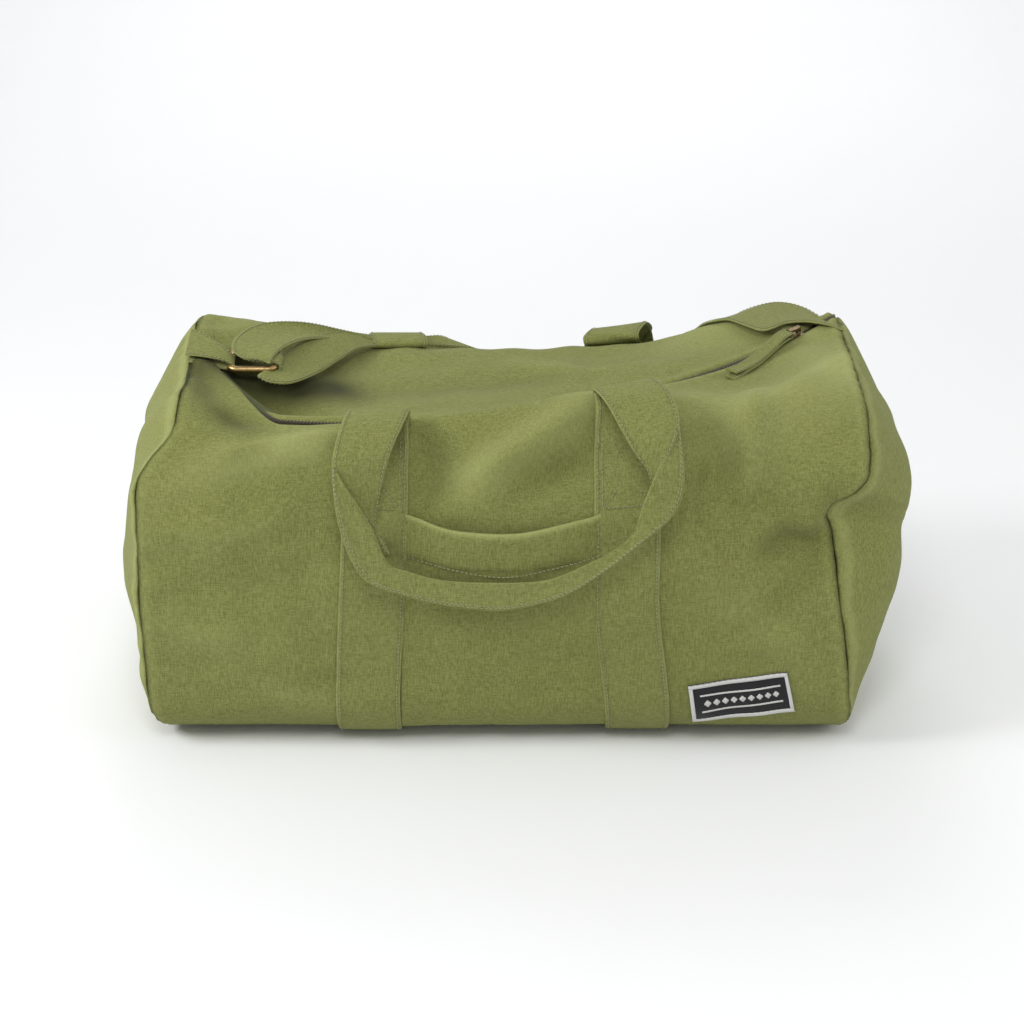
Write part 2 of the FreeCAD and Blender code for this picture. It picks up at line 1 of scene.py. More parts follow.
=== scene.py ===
"""Canvas duffel bag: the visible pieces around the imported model.

Lengths are worked in millimetres and turned into metres when a mesh is made. X runs along the bag,
the front faces -Y and +Z is up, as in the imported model.
"""
import bmesh
import bpy
import json
import math
import numpy as np
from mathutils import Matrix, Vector


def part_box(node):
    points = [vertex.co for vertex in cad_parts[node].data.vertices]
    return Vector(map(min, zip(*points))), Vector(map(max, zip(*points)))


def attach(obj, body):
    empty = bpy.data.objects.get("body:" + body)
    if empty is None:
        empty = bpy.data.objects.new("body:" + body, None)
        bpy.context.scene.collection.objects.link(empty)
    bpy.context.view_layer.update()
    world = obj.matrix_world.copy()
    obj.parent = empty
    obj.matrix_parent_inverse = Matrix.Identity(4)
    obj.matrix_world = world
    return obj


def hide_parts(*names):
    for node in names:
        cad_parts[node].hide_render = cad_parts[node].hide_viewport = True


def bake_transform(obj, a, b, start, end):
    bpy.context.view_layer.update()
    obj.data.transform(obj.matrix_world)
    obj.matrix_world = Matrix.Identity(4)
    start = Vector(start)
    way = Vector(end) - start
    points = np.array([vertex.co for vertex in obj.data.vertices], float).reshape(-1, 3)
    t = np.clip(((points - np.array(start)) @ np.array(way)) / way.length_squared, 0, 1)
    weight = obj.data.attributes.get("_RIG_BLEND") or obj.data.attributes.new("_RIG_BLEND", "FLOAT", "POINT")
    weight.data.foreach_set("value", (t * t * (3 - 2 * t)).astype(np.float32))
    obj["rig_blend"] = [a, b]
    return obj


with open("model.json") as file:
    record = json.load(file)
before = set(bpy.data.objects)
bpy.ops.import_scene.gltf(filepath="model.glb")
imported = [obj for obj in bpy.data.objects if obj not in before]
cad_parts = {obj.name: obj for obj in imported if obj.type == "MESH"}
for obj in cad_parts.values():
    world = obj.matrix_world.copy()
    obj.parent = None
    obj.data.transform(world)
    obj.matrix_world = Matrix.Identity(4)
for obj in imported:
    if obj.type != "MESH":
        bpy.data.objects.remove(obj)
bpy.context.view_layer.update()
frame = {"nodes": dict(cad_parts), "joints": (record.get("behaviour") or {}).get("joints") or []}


# ---- sizes, read from the frame

def node_box(name):
    low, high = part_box(name)
    return np.array(low) * 1000, np.array(high) * 1000


panel_low, panel_high = node_box("main_panel")
HALF_LENGTH = panel_high[0]
HALF_WIDTH = panel_high[1]
FOOT = panel_low[2]
LEFT_RISE, RIGHT_RISE = 27.0, 29.0      # the ends stand higher than the middle
TOP = panel_high[2] - RIGHT_RISE
LOW_CORNER, HIGH_CORNER = 45.0, 70.0    # radii of the girth's corners
FLAT = HALF_WIDTH - HIGH_CORNER
SIDE_START = FLAT + HIGH_CORNER * math.pi / 2
leg_boxes = [node_box("girth_strap_left"), node_box("girth_strap_right")]
WEBBING = 49.0
RIGHT_LEG = leg_boxes[1][1][0] - WEBBING / 2
LEFT_LEG = leg_boxes[0][1][0] - WEBBING / 2
WEBBING_THICK = 2.6
ROW_SHARES = (0.055, 0.945)             # rows of stitches, as shares of the webbing's width


def joint(name):
    return next(j for j in frame["joints"] if j["name"] == name)


zip_joint = joint("zip_travel")
ZIP_CENTRE = np.array(zip_joint["pos_m"]) * 1000
ZIP_AXIS = np.array(zip_joint["axis"])
ZIP_BOW = 508.0         # radius of the zip's arc
CREASE_Y = joint("mouth_opening")["pos_m"][1] * 1000
FRONT_CREASE = np.array(joint("front_handle_swing")["pos_m"]) * 1000
REAR_CREASE = np.array(joint("rear_handle_swing")["pos_m"]) * 1000


def smooth(a, b, x):
    """0 at a, 1 at b, with a soft start and end."""
    t = np.clip((np.asarray(x, float) - a) / (b - a), 0, 1)
    return t * t * (3 - 2 * t)


def bell(x, width, centre=0.0):
    """1 at the centre, falling away on both sides."""
    return np.exp(-((x - centre) / width) ** 2)


def unit(v):
    return v / np.maximum(np.linalg.norm(v, axis=-1, keepdims=True), 1e-9)


# ---- the zip's line

TAIL_X, TAIL_REACH = -175.0, 68.0       # left of TAIL_X the zip turns up to the end seam


def zip_run(x):
    """The arc's reach from its centre at x, and how far into the left tail x is."""
    x = np.asarray(x, float)
    run = np.sqrt(np.maximum(ZIP_BOW ** 2 - (x - ZIP_CENTRE[0]) ** 2, 0))
    return run, np.clip((TAIL_X - x) / TAIL_REACH, 0, 2)


def zip_y(x):
    run, tail = zip_run(x)
    return ZIP_CENTRE[1] - run * ZIP_AXIS[2] + 60.0 * tail ** 1.4


def zip_z(x):
    run, tail = zip_run(x)
    return ZIP_CENTRE[2] + run * ZIP_AXIS[1] + 19.0 * tail ** 1.3


# ---- the bag's skin: a point for each place along X and round the girth

def rise(x):
    """How far the top stands above its middle."""
    return LEFT_RISE * smooth(-120, -255, x) + RIGHT_RISE * smooth(60, 262, x)


def girth_length(top):
    side = (top - HIGH_CORNER) - (FOOT + LOW_CORNER)
    corners = HIGH_CORNER + LOW_CORNER
    return 4 * HALF_WIDTH - 2 * corners + 2 * side + math.pi * corners


def outline(s, top):
    """Rounded outline (y, z), s along it from the middle of the top towards the front."""
    top = np.broadcast_to(top, np.shape(s)).astype(float)
    length = girth_length(top)
    s = np.mod(s, length)
    half = s > length / 2
    t = np.where(half, length - s, s)
    side = (top - HIGH_CORNER) - (FOOT + LOW_CORNER)
    low = SIDE_START + side
    a = np.clip((t - FLAT) / HIGH_CORNER, 0, math.pi / 2)
    b = np.clip((t - low) / LOW_CORNER, 0, math.pi / 2)
    y = np.minimum(t, FLAT) + HIGH_CORNER * np.sin(a) - LOW_CORNER * (1 - np.cos(b))
    y = y - np.clip(t - low - LOW_CORNER * math.pi / 2, 0, None)
    z = top - HIGH_CORNER * (1 - np.cos(a)) - np.clip(t - SIDE_START, 0, side) - LOW_CORNER * np.sin(b)
    return np.where(half, y, -y), z


def zip_s(x):
    """Where the zip's line lies on the outline."""
    y = -zip_y(x)
    bend = HIGH_CORNER * np.arcsin(np.clip((y - FLAT) / HIGH_CORNER, 0, 1))
    return np.where(y > FLAT, FLAT + bend, y)


# Where the end seams run at each height, as distances from the middle: (height, left, right). They
# follow the seams in the photograph, turned into millimetres in the same way as the handles' points.
SEAM_LINE = np.array([
    (3, -272, 262), (31, -278, 260), (60, -278, 256), (93, -278, 251), (130, -278, 244), (160, -277, 239),
    (184, -277, 235), (198, -276, 233), (206, -276, 240), (214, -276, 251), (226, -274, 261),
    (240, -265, 262), (252, -253, 261), (262, -248, 261), (275, -246, 261), (300, -245, 261)])
FINE_HEIGHT = np.arange(0.0, 301.0, 1.0)
BLUR = bell(np.arange(-12, 13), 4.5)


def blurred(values):
    """A column of the seams' table read every millimetre and smoothed a little."""
    fine = np.interp(FINE_HEIGHT, SEAM_LINE[:, 0], values)
    padded = np.pad(fine, 12, mode="edge")
    return np.convolve(padded, BLUR / BLUR.sum(), mode="valid")


LEFT_SEAM, RIGHT_SEAM = blurred(SEAM_LINE[:, 1]), blurred(SEAM_LINE[:, 2])


def seam_shift(y, z):
    """How far the end seams wander along X from their nominal place, left and right."""
    front = smooth(70, -70, y)
    left = np.interp(z, FINE_HEIGHT, LEFT_SEAM) + HALF_LENGTH
    right = np.interp(z, FINE_HEIGHT, RIGHT_SEAM) - HALF_LENGTH
    return left * (0.6 + 0.4 * front), right * (0.25 + 0.75 * front)


def noise3(points, scale, seed):
    """Smooth repeatable noise from a few sine waves."""
    rng = np.random.default_rng(seed)
    total = np.zeros(points.shape[:-1])
    for _ in range(9):
        direction = rng.normal(size=3)
        direction /= np.linalg.norm(direction)
        phase = rng.uniform(0, 2 * math.pi)
        factor = rng.uniform(0.7, 1.5)
        total += np.sin(points @ direction * (2 * math.pi * factor / scale) + phase)
    return total / 3.0


def to_polyline(points, line):
    """Distance from each point to a polyline, and how far along it (0 to 1) the foot lies."""
    line = np.asarray(line, float)
    best = np.full(points.shape[:-1], 1e9)
    along = np.zeros(points.shape[:-1])
    steps = np.linalg.norm(np.diff(line, axis=0), axis=1)
    total = steps.sum()
    done = 0.0
    for a, b, step in zip(line, line[1:], steps):
        t = np.clip((points - a) @ (b - a) / step ** 2, 0, 1)
        d = np.linalg.norm(points - (a + t[..., None] * (b - a)), axis=-1)
        near = d < best
        best = np.where(near, d, best)
        along = np.where(near, (done + t * step) / total, along)
        done += step
    return best, along


# Soft folds: (points on the skin, height outwards, width). Hollows have a negative height.
FOLD_STRENGTH = 1.8
FOLDS = [
    ([(-252, -125, 221), (-208, -125, 236), (-147, -112, 245), (-112, -106, 254)], 8, 12),
    ([(-222, -20, 262), (-232, -70, 256), (-244, -104, 244), (-258, -128, 214)], -8, 15),
    ([(-165, -98, 250), (-205, -108, 244), (-240, -118, 232)], 4, 9),
    ([(-252, -58, 265), (-232, -84, 254), (-196, -102, 247)], -9, 16),
    ([(-200, -28, 262), (-172, -62, 252), (-135, -72, 248)], -9, 17),
    ([(-262, -143, 190), (-225, -143, 180), (-170, -143, 190)], 3, 20),
    ([(-262, 38, 279), (-240, 30, 278), (-212, 42, 276)], -5, 8),
    ([(268, 112, 268), (248, 104, 270), (225, 104, 270)], -9, 22),
    ([(-258, 78, 280), (-232, 72, 278), (-202, 62, 275)], 4, 9),
    ([(250, -35, 280), (215, -85, 266), (179, -110, 254), (140, -124, 238)], 7, 20),
    ([(240, -143, 206), (234, -143, 184), (222, -143, 170), (204, -143, 177), (186, -143, 168)], -9, 13),
    ([(204, -143, 206), (185, -143, 212), (160, -138, 205)], -3, 13),
    ([(146, -118, 262), (145, -135, 228), (138, -141, 200)], -5, 12),
    ([(184, -78, 270), (179, -106, 262), (176, -125, 246), (172, -138, 222)], 6, 14),
    ([(250, -140, 170), (220, -143, 150), (180, -143, 110)], -3, 20),
    ([(50, -112, 268), (12, -122, 246), (-28, -131, 226)], 9, 12),
    ([(62, -126, 246), (30, -134, 224), (0, -140, 208)], -4, 13),
    ([(-70, -118, 252), (-62, -134, 230), (-66, -142, 205)], -4, 10),
    ([(-262, -143, 120), (-235, -146, 100), (-190, -146, 92)], 3, 24),
    ([(-200, -145, 60), (-150, -146, 40), (-100, -140, 22)], 2.5, 20),
    ([(150, -146, 140), (190, -146, 110), (230, -146, 60)], 3, 24),
    ([(-240, 40, 276), (-200, 60, 268), (-150, 85, 256)], 6, 20),
    ([(-150, -40, 250), (-80, -10, 248), (0, 10, 248), (90, 30, 249)], -4, 30),
    ([(120, 10, 252), (60, 20, 248), (0, 55, 247)], 4, 18),
    ([(240, 40, 277), (190, 70, 266), (140, 90, 256)], 5, 20),
    ([(-262, 143, 180), (-200, 146, 150), (-120, 146, 130)], 4, 26),
    ([(-30, 146, 230), (-30, 146, 150), (-30, 146, 60)], -5, 42),
    ([(260, 143, 160), (190, 146, 130), (120, 146, 120)], 4, 26),
    ([(-60, 143, 205), (0, 146, 190), (60, 143, 205)], 4, 22),
]


def taper(t):
    """Full along a fold's middle and fading towards its ends."""
    return np.sin(np.clip(0.12 + 0.76 * t, 0, 1) * math.pi)


def soften(points, normals):
    """Adds the bag's slump: bulging sides, folds and slight unevenness."""
    y, z = points[..., 1], points[..., 2]
    from_zip = np.hypot(y - zip_y(points[..., 0]), z - zip_z(points[..., 0]))
    above = smooth(4, 40, z) * smooth(1, 30, from_zip)
    out = 3.0 * np.sin(np.clip((z - 8) / 215, 0, 1) * math.pi) * smooth(60, 140, np.abs(y))
    for line, height, width in FOLDS:
        d, t = to_polyline(points, line)
        out = out + height * np.exp(-(d / width) ** 1.5) * taper(t)
    out = out * FOLD_STRENGTH * smooth(1, 26, from_zip)
    out = out + 2.0 * noise3(points, 120.0, 3) * above + 0.8 * noise3(points, 38.0, 5) * above
    moved = points + normals * out[..., None]
    moved[..., 2] = np.maximum(moved[..., 2], FOOT)
    return moved


CREST_S = 105.0         # the crest's place round the girth
CREST_X = [-170, -120, -75, 0, 60, 105, 132, 165, 200]
CREST_LIFT = [0, 6, 14, 21, 29, 24, 12, 3, 0]


def crest_lift(x, s):
    """The front panel stands up in front of the zip, most where the right handle pulls it."""
    height = np.interp(x, CREST_X, CREST_LIFT)
    back = np.maximum((CREST_S - zip_s(x)) / 1.55, 6.0)
    return height * bell(s, np.where(s < CREST_S, back, 26.0), CREST_S)


# Broad painted highlights (positive tone) and painted shade (negative tone): (points on the skin, tone,
# width)
PAINTED_LIGHT_AND_SHADE = [
    ([(250, -60, 272), (200, -88, 262), (150, -100, 256)], 0.5, 34),
    ([(250, -20, 278), (205, 50, 268), (150, 70, 258)], 0.35, 34),
    ([(58, -104, 276), (34, -116, 258), (8, -123, 244), (-34, -133, 221)], 0.5, 16),
    ([(-255, -127, 212), (-208, -128, 233), (-147, -116, 243)], 0.75, 12),
    ([(-260, -45, 264), (-236, -12, 264), (-207, -16, 258), (-170, -24, 252), (-140, -12, 251)], -1.4, 24),
    ([(-256, -58, 265), (-240, -76, 258), (-222, -92, 251), (-198, -102, 247)], -0.42, 17),
    ([(138, -118, 262), (142, -136, 225), (138, -143, 195)], -0.2, 12),
    ([(240, -143, 206), (232, -143, 182), (200, -143, 176)], -0.25, 14),
]


def painted_fold_light(points):
    """Painted highlights on ridges and painted shade in hollows, with the broad painted areas above."""
    tone = np.zeros(points.shape[:-1])
    for line, strength, width in PAINTED_LIGHT_AND_SHADE:
        tone = tone + strength * bell(to_polyline(points, line)[0], width)
    for line, height, width in FOLDS:
        d, t = to_polyline(points, line)
        tone = tone + 0.06 * height * bell(d, 0.6 * width) * taper(t)
    return tone


def base_point(x, s):
    """The skin before it is softened."""
    top = TOP + rise(x)
    y, z = outline(s, top)
    lift = zip_z(x) - outline(zip_s(x), top)[1]
    near_zip = bell(y, 95.0, zip_y(x)) * smooth(165, 245, z)
    z = z + lift * near_zip
    z = z + crest_lift(x, s)
    left, right = seam_shift(y, z)
    end = smooth(150, HALF_LENGTH, np.abs(x))
    x = x + end * np.where(x < 0, left, right)
    return np.stack([x, y, z], -1)


def skin(x, s, offset=0.0):
    """Points and outward normals of the softened skin; offset lifts the points off it."""
    x, s = np.broadcast_arrays(np.asarray(x, float), np.asarray(s, float))
    step = 1.5

    def normals_of(f):
        dx = f(x + step, s) - f(x - step, s)
        ds = f(x, s + step) - f(x, s - step)
        return unit(np.cross(ds, dx))

    rough = normals_of(base_point)

    def soft(xx, ss):
        return soften(base_point(xx, ss), rough)

    normals = normals_of(soft)
    return soft(x, s) + normals * np.asarray(offset)[..., None], normals


def front_s(z):
    """Outline place at height z on the front face."""
    upper = TOP - HIGH_CORNER
    bend = np.arccos(np.clip((z - upper) / HIGH_CORNER, -1, 1))
    on_corner = FLAT + HIGH_CORNER * np.minimum(bend, math.pi / 2)
    return np.where(z >= upper, on_corner, SIDE_START + (upper - z))


# ---- mesh building

def grid_faces(rows, cols, close_cols=False, start=0, flip=False):
    faces = []
    for i in range(rows - 1):
        for j in range(cols if close_cols else cols - 1):
            a = start + i * cols + j
            b = start + i * cols + (j + 1) % cols
            face = (a, b, b + cols, a + cols)
            faces.append(face[::-1] if flip else face)
    return faces


class Build:
    """Collects vertices in millimetres, faces, and a tone (painted light and shade) and a weight for each
    vertex.
    """

    def __init__(self):
        self.points, self.faces, self.tones, self.weights = [], [], [], []
        self.count = 0

    def add(self, points, faces, tone=0.0, weight=0.0):
        points = np.asarray(points, float).reshape(-1, 3)
        self.points.append(points)
        self.faces.extend(tuple(i + self.count for i in f) for f in faces)
        self.tones.append(np.broadcast_to(np.asarray(tone, float).reshape(-1), (len(points),)))
        self.weights.append(np.broadcast_to(np.asarray(weight, float).reshape(-1), (len(points),)))
        self.count += len(points)

    def shell(self, outer, normals, thickness, tone=0.0, weight=0.0, wrap=False, tips=None):
        """A grid of points and the same grid moved inwards, closed round the rim, or with tips at a point."""
        rows, cols = outer.shape[:2]
        size = rows * cols
        index = np.arange(size).reshape(rows, cols)
        first, last = index[0], index[-1]
        points = np.stack([outer, outer - normals * thickness]).reshape(-1, 3)
        tone, weight = (np.tile(np.broadcast_to(v, (rows, cols)).reshape(-1), 2) for v in (tone, weight))
        faces = grid_faces(rows, cols, wrap) + grid_faces(rows, cols, wrap, size, True)
        if tips is not None:
            points = np.vstack([points, tips])
            tone, weight = np.append(tone, [0, 0]), np.append(weight, [0, 0])
            for a, b in zip(last, np.roll(last, -1)):
                faces += [(a, b, 2 * size), (size + b, size + a, 2 * size + 1)]
        if wrap:
            rims = [first] if tips is not None else [first, last[::-1]]
        else:
            rims = [np.concatenate([first, index[1:, -1], last[-2::-1], index[-2:0:-1, 0]])]
        for rim in rims:
            faces += [(b, a, a + size, b + size) for a, b in zip(rim, np.roll(rim, -1))]
        self.add(points, faces, tone, weight)

    def piece(self, name, material, body, slot=None, stands_for=(), ends=None):
        """Makes the object; with ends it bends from body[0] to body[1] by the stored weights."""
        mesh = bpy.data.meshes.new(name)
        points = np.concatenate(self.points) / 1000.0
        mesh.from_pydata(points.tolist(), [], self.faces)
        mesh.polygons.foreach_set("use_smooth", [True] * len(mesh.polygons))
        tones = mesh.attributes.new("tone", "FLOAT", "POINT")
        tones.data.foreach_set("value", np.concatenate(self.tones).astype(np.float32))
        mesh.materials.append(material)
        mesh.update()
        fix_normals(mesh)
        obj = add_object(name, mesh)
        if ends is None:
            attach(obj, body)
        else:
            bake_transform(obj, body[0], body[1], start=ends[0], end=ends[1])
            attribute = obj.data.attributes["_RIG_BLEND"]
            attribute.data.foreach_set("value", np.concatenate(self.weights).astype(np.float32))
        if stands_for:
            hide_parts(*stands_for)
        return obj


def add_object(name, data):
    obj = bpy.data.objects.new(name, data)
    bpy.context.scene.collection.objects.link(obj)
    return obj


def fix_normals(mesh):
    work = bmesh.new()
    work.from_mesh(mesh)
    bmesh.ops.recalc_face_normals(work, faces=work.faces)
    work.to_mesh(mesh)
    work.free()


def run_of(line):
    """Length along a line up to each of its points."""
    return np.concatenate([[0], np.cumsum(np.linalg.norm(np.diff(line, axis=0), axis=1))])


def spline(points, count):
    """Points evenly spaced along a smooth curve through the given points."""
    p = np.asarray(points, float)
    if len(p) == 2:
        t = np.linspace(0, 1, count)[:, None]
        return p[0] * (1 - t) + p[1] * t
    first, last = 2 * p[0] - p[1], 2 * p[-1] - p[-2]
    q = np.vstack([first, p, last])
    dense = []
    for i in range(1, len(q) - 2):
        t = np.linspace(0, 1, 24, endpoint=False)[:, None]
        a, b, c, d = q[i - 1], q[i], q[i + 1], q[i + 2]
        dense.append(0.5 * (2 * b + (c - a) * t + (2 * a - 5 * b + 4 * c - d) * t ** 2
                            + (3 * b - a - 3 * c + d) * t ** 3))
    dense = np.vstack(dense + [p[-1:]])
    length = run_of(dense)
    even = np.linspace(0, length[-1], count)
    return np.stack([np.interp(even, length, dense[:, k]) for k in range(3)], -1)


# Places across a strip's width, close together at its edges
ACROSS = np.array([0, 0.012, 0.035, 0.07, 0.12, 0.2, 0.35, 0.5, 0.65, 0.8, 0.88, 0.93, 0.965, 0.988, 1])


def ribbon(build, left, right, thickness=WEBBING_THICK, crown=0.0, weight=0.0, normals=None):
    """A folded-cloth strip between two rails of equal length, with soft rounded edges."""
    rows = len(left)
    if normals is None:
        along = np.gradient((left + right) / 2, axis=0)
        normals = unit(np.cross(right - left, along))
    t = ACROSS[None, :, None]
    middle = left[:, None] * (1 - t) + right[:, None] * t
    edge = np.sqrt(np.clip(1 - np.abs(2 * ACROSS - 1) ** 10, 0, 1))
    lift = crown * (1 - (2 * ACROSS - 1) ** 2)
    half = thickness / 2
    upper = middle + normals[:, None] * (half * edge + lift)[None, :, None]
    lower = middle - normals[:, None] * (half * edge - lift)[None, :, None]
    ring = np.concatenate([upper, lower[:, -2:0:-1]], axis=1)
    cols = ring.shape[1]
    faces = grid_faces(rows, cols, True)
    faces.append(tuple(range(cols))[::-1])
    faces.append(tuple((rows - 1) * cols + j for j in range(cols)))
    to_edge = np.minimum(ACROSS, 1 - ACROSS)
    # paler along the edges (wear and painted highlight) and a painted shade line along the stitch rows
    edge_wear_and_painted_light = 0.35 * bell(to_edge, 0.02) - 0.14 * bell(to_edge, 0.02, 0.06)
    edge_wear_and_painted_light = np.tile(np.concatenate([edge_wear_and_painted_light, edge_wear_and_painted_light[-2:0:-1]]), (rows, 1))
    weights = np.broadcast_to(np.asarray(weight, float).reshape(-1, 1), (rows, cols))
    build.add(ring, faces, edge_wear_and_painted_light, weights)
    return normals


STITCH_PITCH, STITCH_LENGTH, THREAD_RADIUS = 3.4, 2.2, 0.42


def stitches(build, path, normals, weight=0.0, sink=0.05):
    """A row of short threads lying along a path."""
    steps = run_of(path)
    count = int(steps[-1] // STITCH_PITCH)
    if count < 1:
        return

    def read(values, at):
        return np.stack([np.interp(at, steps, values[:, k]) for k in range(values.shape[1])], -1)

    starts = np.arange(count) * STITCH_PITCH + (STITCH_PITCH - STITCH_LENGTH) / 2
    a, b = read(path, starts), read(path, starts + STITCH_LENGTH)
    n = unit(read(normals, starts + STITCH_LENGTH / 2))
    w = np.interp(starts, steps, np.broadcast_to(weight, (len(path),)))
    side = unit(np.cross(n, b - a)) * THREAD_RADIUS
    up = n * THREAD_RADIUS
    low = n * sink
    near, far = a * 0.8 + b * 0.2 + up, b * 0.8 + a * 0.2 + up
    slim = side * 0.7
    corners = np.stack([a - side - low, a + side - low, b + side - low, b - side - low,
                        near - slim, near + slim, far + slim, far - slim], 1)
    block = [(3, 2, 1, 0), (4, 5, 6, 7), (0, 1, 5, 4), (1, 2, 6, 5), (2, 3, 7, 6), (3, 0, 4, 7)]
    faces = [tuple(8 * k + i for i in f) for k in range(count) for f in block]
    build.add(corners, faces, 0.0, np.repeat(w, 8))


def edge_threads(sewn, a, b, normals, thickness=WEBBING_THICK, weight=0.0, edges=ROW_SHARES, faces=(1, -1)):
    """A row of stitches along each edge of a strip, on each of its faces."""
    for share in edges:
        for face in faces:
            path = a * (1 - share) + b * share + normals * (face * thickness * 0.5)
            stitches(sewn, path, normals * face, weight=weight)


def rail_pair(build, sewn, left, right, rows, weight=0.0, thickness=WEBBING_THICK, edges=ROW_SHARES):
    """A stitched strip between smooth curves through two lists of points."""
    a, b = spline(left, rows), spline(right, rows)
    normals = ribbon(build, a, b, thickness, weight=weight)
    edge_threads(sewn, a, b, normals, thickness, weight, edges)


# ---- materials

class Nodes:
    """Short calls for building one material's nodes."""

    def __init__(self, name, **sockets):
        self.material = bpy.data.materials.new(name)
        self.material.use_nodes = True
        self.tree = self.material.node_tree
        self.shader = self.tree.nodes["Principled BSDF"]
        for socket, value in sockets.items():
            self.shader.inputs[socket.replace("_", " ")].default_value = value
        self.place = self.new("ShaderNodeTexCoord").outputs["Object"]

    def new(self, kind, inputs=(), **settings):
        node = self.tree.nodes.new(kind)
        for key, value in settings.items():
            setattr(node, key, value)
        for socket, value in dict(inputs).items():
            self.give(node.inputs[socket], value)
        return node

    def give(self, socket, value):
        """Links a node's output to the socket, or sets a number or a colour on it."""
        if isinstance(value, bpy.types.NodeSocket):
            self.tree.links.new(value, socket)
        elif socket.type == "RGBA":
            socket.default_value = (*value, 1.0)
        else:
            socket.default_value = value

    def stretch(self, scale):
        return self.new("ShaderNodeMapping", {"Scale": scale, "Vector": self.place}).outputs["Vector"]

    def noise(self, scale, detail=3.0, rough=0.55, vector=None):
        inputs = {"Scale": scale, "Detail": detail, "Roughness": rough, "Vector": vector or self.place}
        return self.new("ShaderNodeTexNoise", inputs).outputs["Fac"]

    def wave(self, scale, direction, distortion):
        inputs = {"Scale": scale, "Distortion": distortion, "Detail": 2.0, "Detail Scale": 2.0,
                  "Vector": self.place}
        return self.new("ShaderNodeTexWave", inputs, bands_direction=direction).outputs["Fac"]

    def math(self, operation, a, b):
        return self.new("ShaderNodeMath", {0: a, 1: b}, operation=operation).outputs[0]

    def span(self, value, low, high):
        inputs = {"Value": value, "To Min": low, "To Max": high}
        return self.new("ShaderNodeMapRange", inputs).outputs["Result"]

    def mix(self, factor, a, b):
        return self.new("ShaderNodeMix", {0: factor, 6: a, 7: b}, data_type="RGBA").outputs[2]

    def attribute(self, name):
        return self.new("ShaderNodeAttribute", attribute_name=name).outputs["Fac"]

    def bump(self, height, distance, strength=1.0):
        node = self.new("ShaderNodeBump", {"Strength": strength, "Distance": distance, "Height": height})
        self.give(self.shader.inputs["Normal"], node.outputs["Normal"])

    def colour(self, value):
        self.give(self.shader.inputs["Base Color"], value)

    def rough(self, value):
        self.give(self.shader.inputs["Roughness"], value)


def canvas(name, body, pale, dark, fine=1.0):
    """Plain-woven cotton: crossing yarns, slubs and uneven dye; the tone attribute paints highlights and a
    little edge wear paler and paints shade darker.
    """
    n = Nodes(name, Roughness=0.92, Sheen_Weight=0.07, Sheen_Roughness=0.6, Specular_IOR_Level=0.18)
    n.shader.inputs["Sheen Tint"].default_value = (0.75, 0.8, 0.55, 1)
    weft = n.noise(1.0, 2.0, 0.5, n.stretch((190 * fine, 1000 * fine, 1500 * fine)))
    warp = n.noise(1.0, 2.0, 0.5, n.stretch((1500 * fine, 700 * fine, 170 * fine)))
    yarn = n.math("ADD", n.math("MULTIPLY", weft, 0.45), n.math("MULTIPLY", warp, 0.55))
    grain = n.noise(1000.0 * fine, 2.0, 0.7)
    cloud = n.noise(9.0, 4.0, 0.6)
    speck = n.noise(330.0, 2.0, 0.5)
    shade = n.mix(n.span(yarn, -1.5, 2.5), dark, pale)
    shade = n.mix(n.span(cloud, 0.0, 0.35), shade, body)
    shade = n.mix(n.span(speck, -1.2, 0.6), shade, tuple(1.35 * c for c in pale))
    # positive tone mixes towards a pale colour: painted highlights on ridges and lit sides, plus some edge
    # wear; negative tone mixes towards near-black: painted shade in hollows, seams and under the strap
    tone = n.attribute("tone")
    wear_and_painted_highlight = n.math("MAXIMUM", n.math("MULTIPLY", tone, 0.55), 0.0)
    painted_shade = n.math("MAXIMUM", n.math("MULTIPLY", tone, -0.75), 0.0)
    shade = n.mix(wear_and_painted_highlight, shade, tuple(min(1.0, c * 1.7 + 0.05) for c in pale))
    shade = n.mix(painted_shade, shade, tuple(c * 0.25 for c in dark))
    n.colour(shade)
    n.rough(n.span(grain, 0.86, 1.0))
    height = n.math("ADD", n.math("MULTIPLY", yarn, 0.7), n.math("MULTIPLY", grain, 0.45))
    n.bump(height, 0.0011, 0.55)
    return n.material


def metal(name, colour, dull, rough, scratch=0.0004):
    n = Nodes(name, Metallic=1.0, Roughness=rough)
    patina = n.noise(260.0, 4.0, 0.65)
    fine = n.noise(1800.0, 2.0, 0.6)
    n.colour(n.mix(n.span(patina, -0.4, 1.5), colour, dull))
    n.rough(n.span(patina, rough - 0.1, rough + 0.22))
    n.bump(n.math("ADD", patina, n.math("MULTIPLY", fine, 0.5)), scratch, 0.35)
    return n.material


OLIVE = (0.188, 0.200, 0.057)
OLIVE_PALE = (0.252, 0.268, 0.088)
OLIVE_DARK = (0.128, 0.138, 0.034)
canvas_skin = canvas("canvas", OLIVE, OLIVE_PALE, OLIVE_DARK)
canvas_strap = canvas("strap_canvas", (0.206, 0.221, 0.076), OLIVE_PALE, OLIVE_DARK)
canvas_lining = canvas("binding_tape", (0.20, 0.21, 0.065), OLIVE_PALE, OLIVE_DARK, 1.4)
tape_cloth = canvas("zip_tape", (0.085, 0.095, 0.035), (0.13, 0.14, 0.06), (0.04, 0.045, 0.02), 1.6)
bronze = metal("aged_bronze", (0.34, 0.25, 0.13), (0.05, 0.035, 0.02), 0.34)
brass = metal("antique_brass", (0.62, 0.45, 0.20), (0.24, 0.16, 0.07), 0.30)


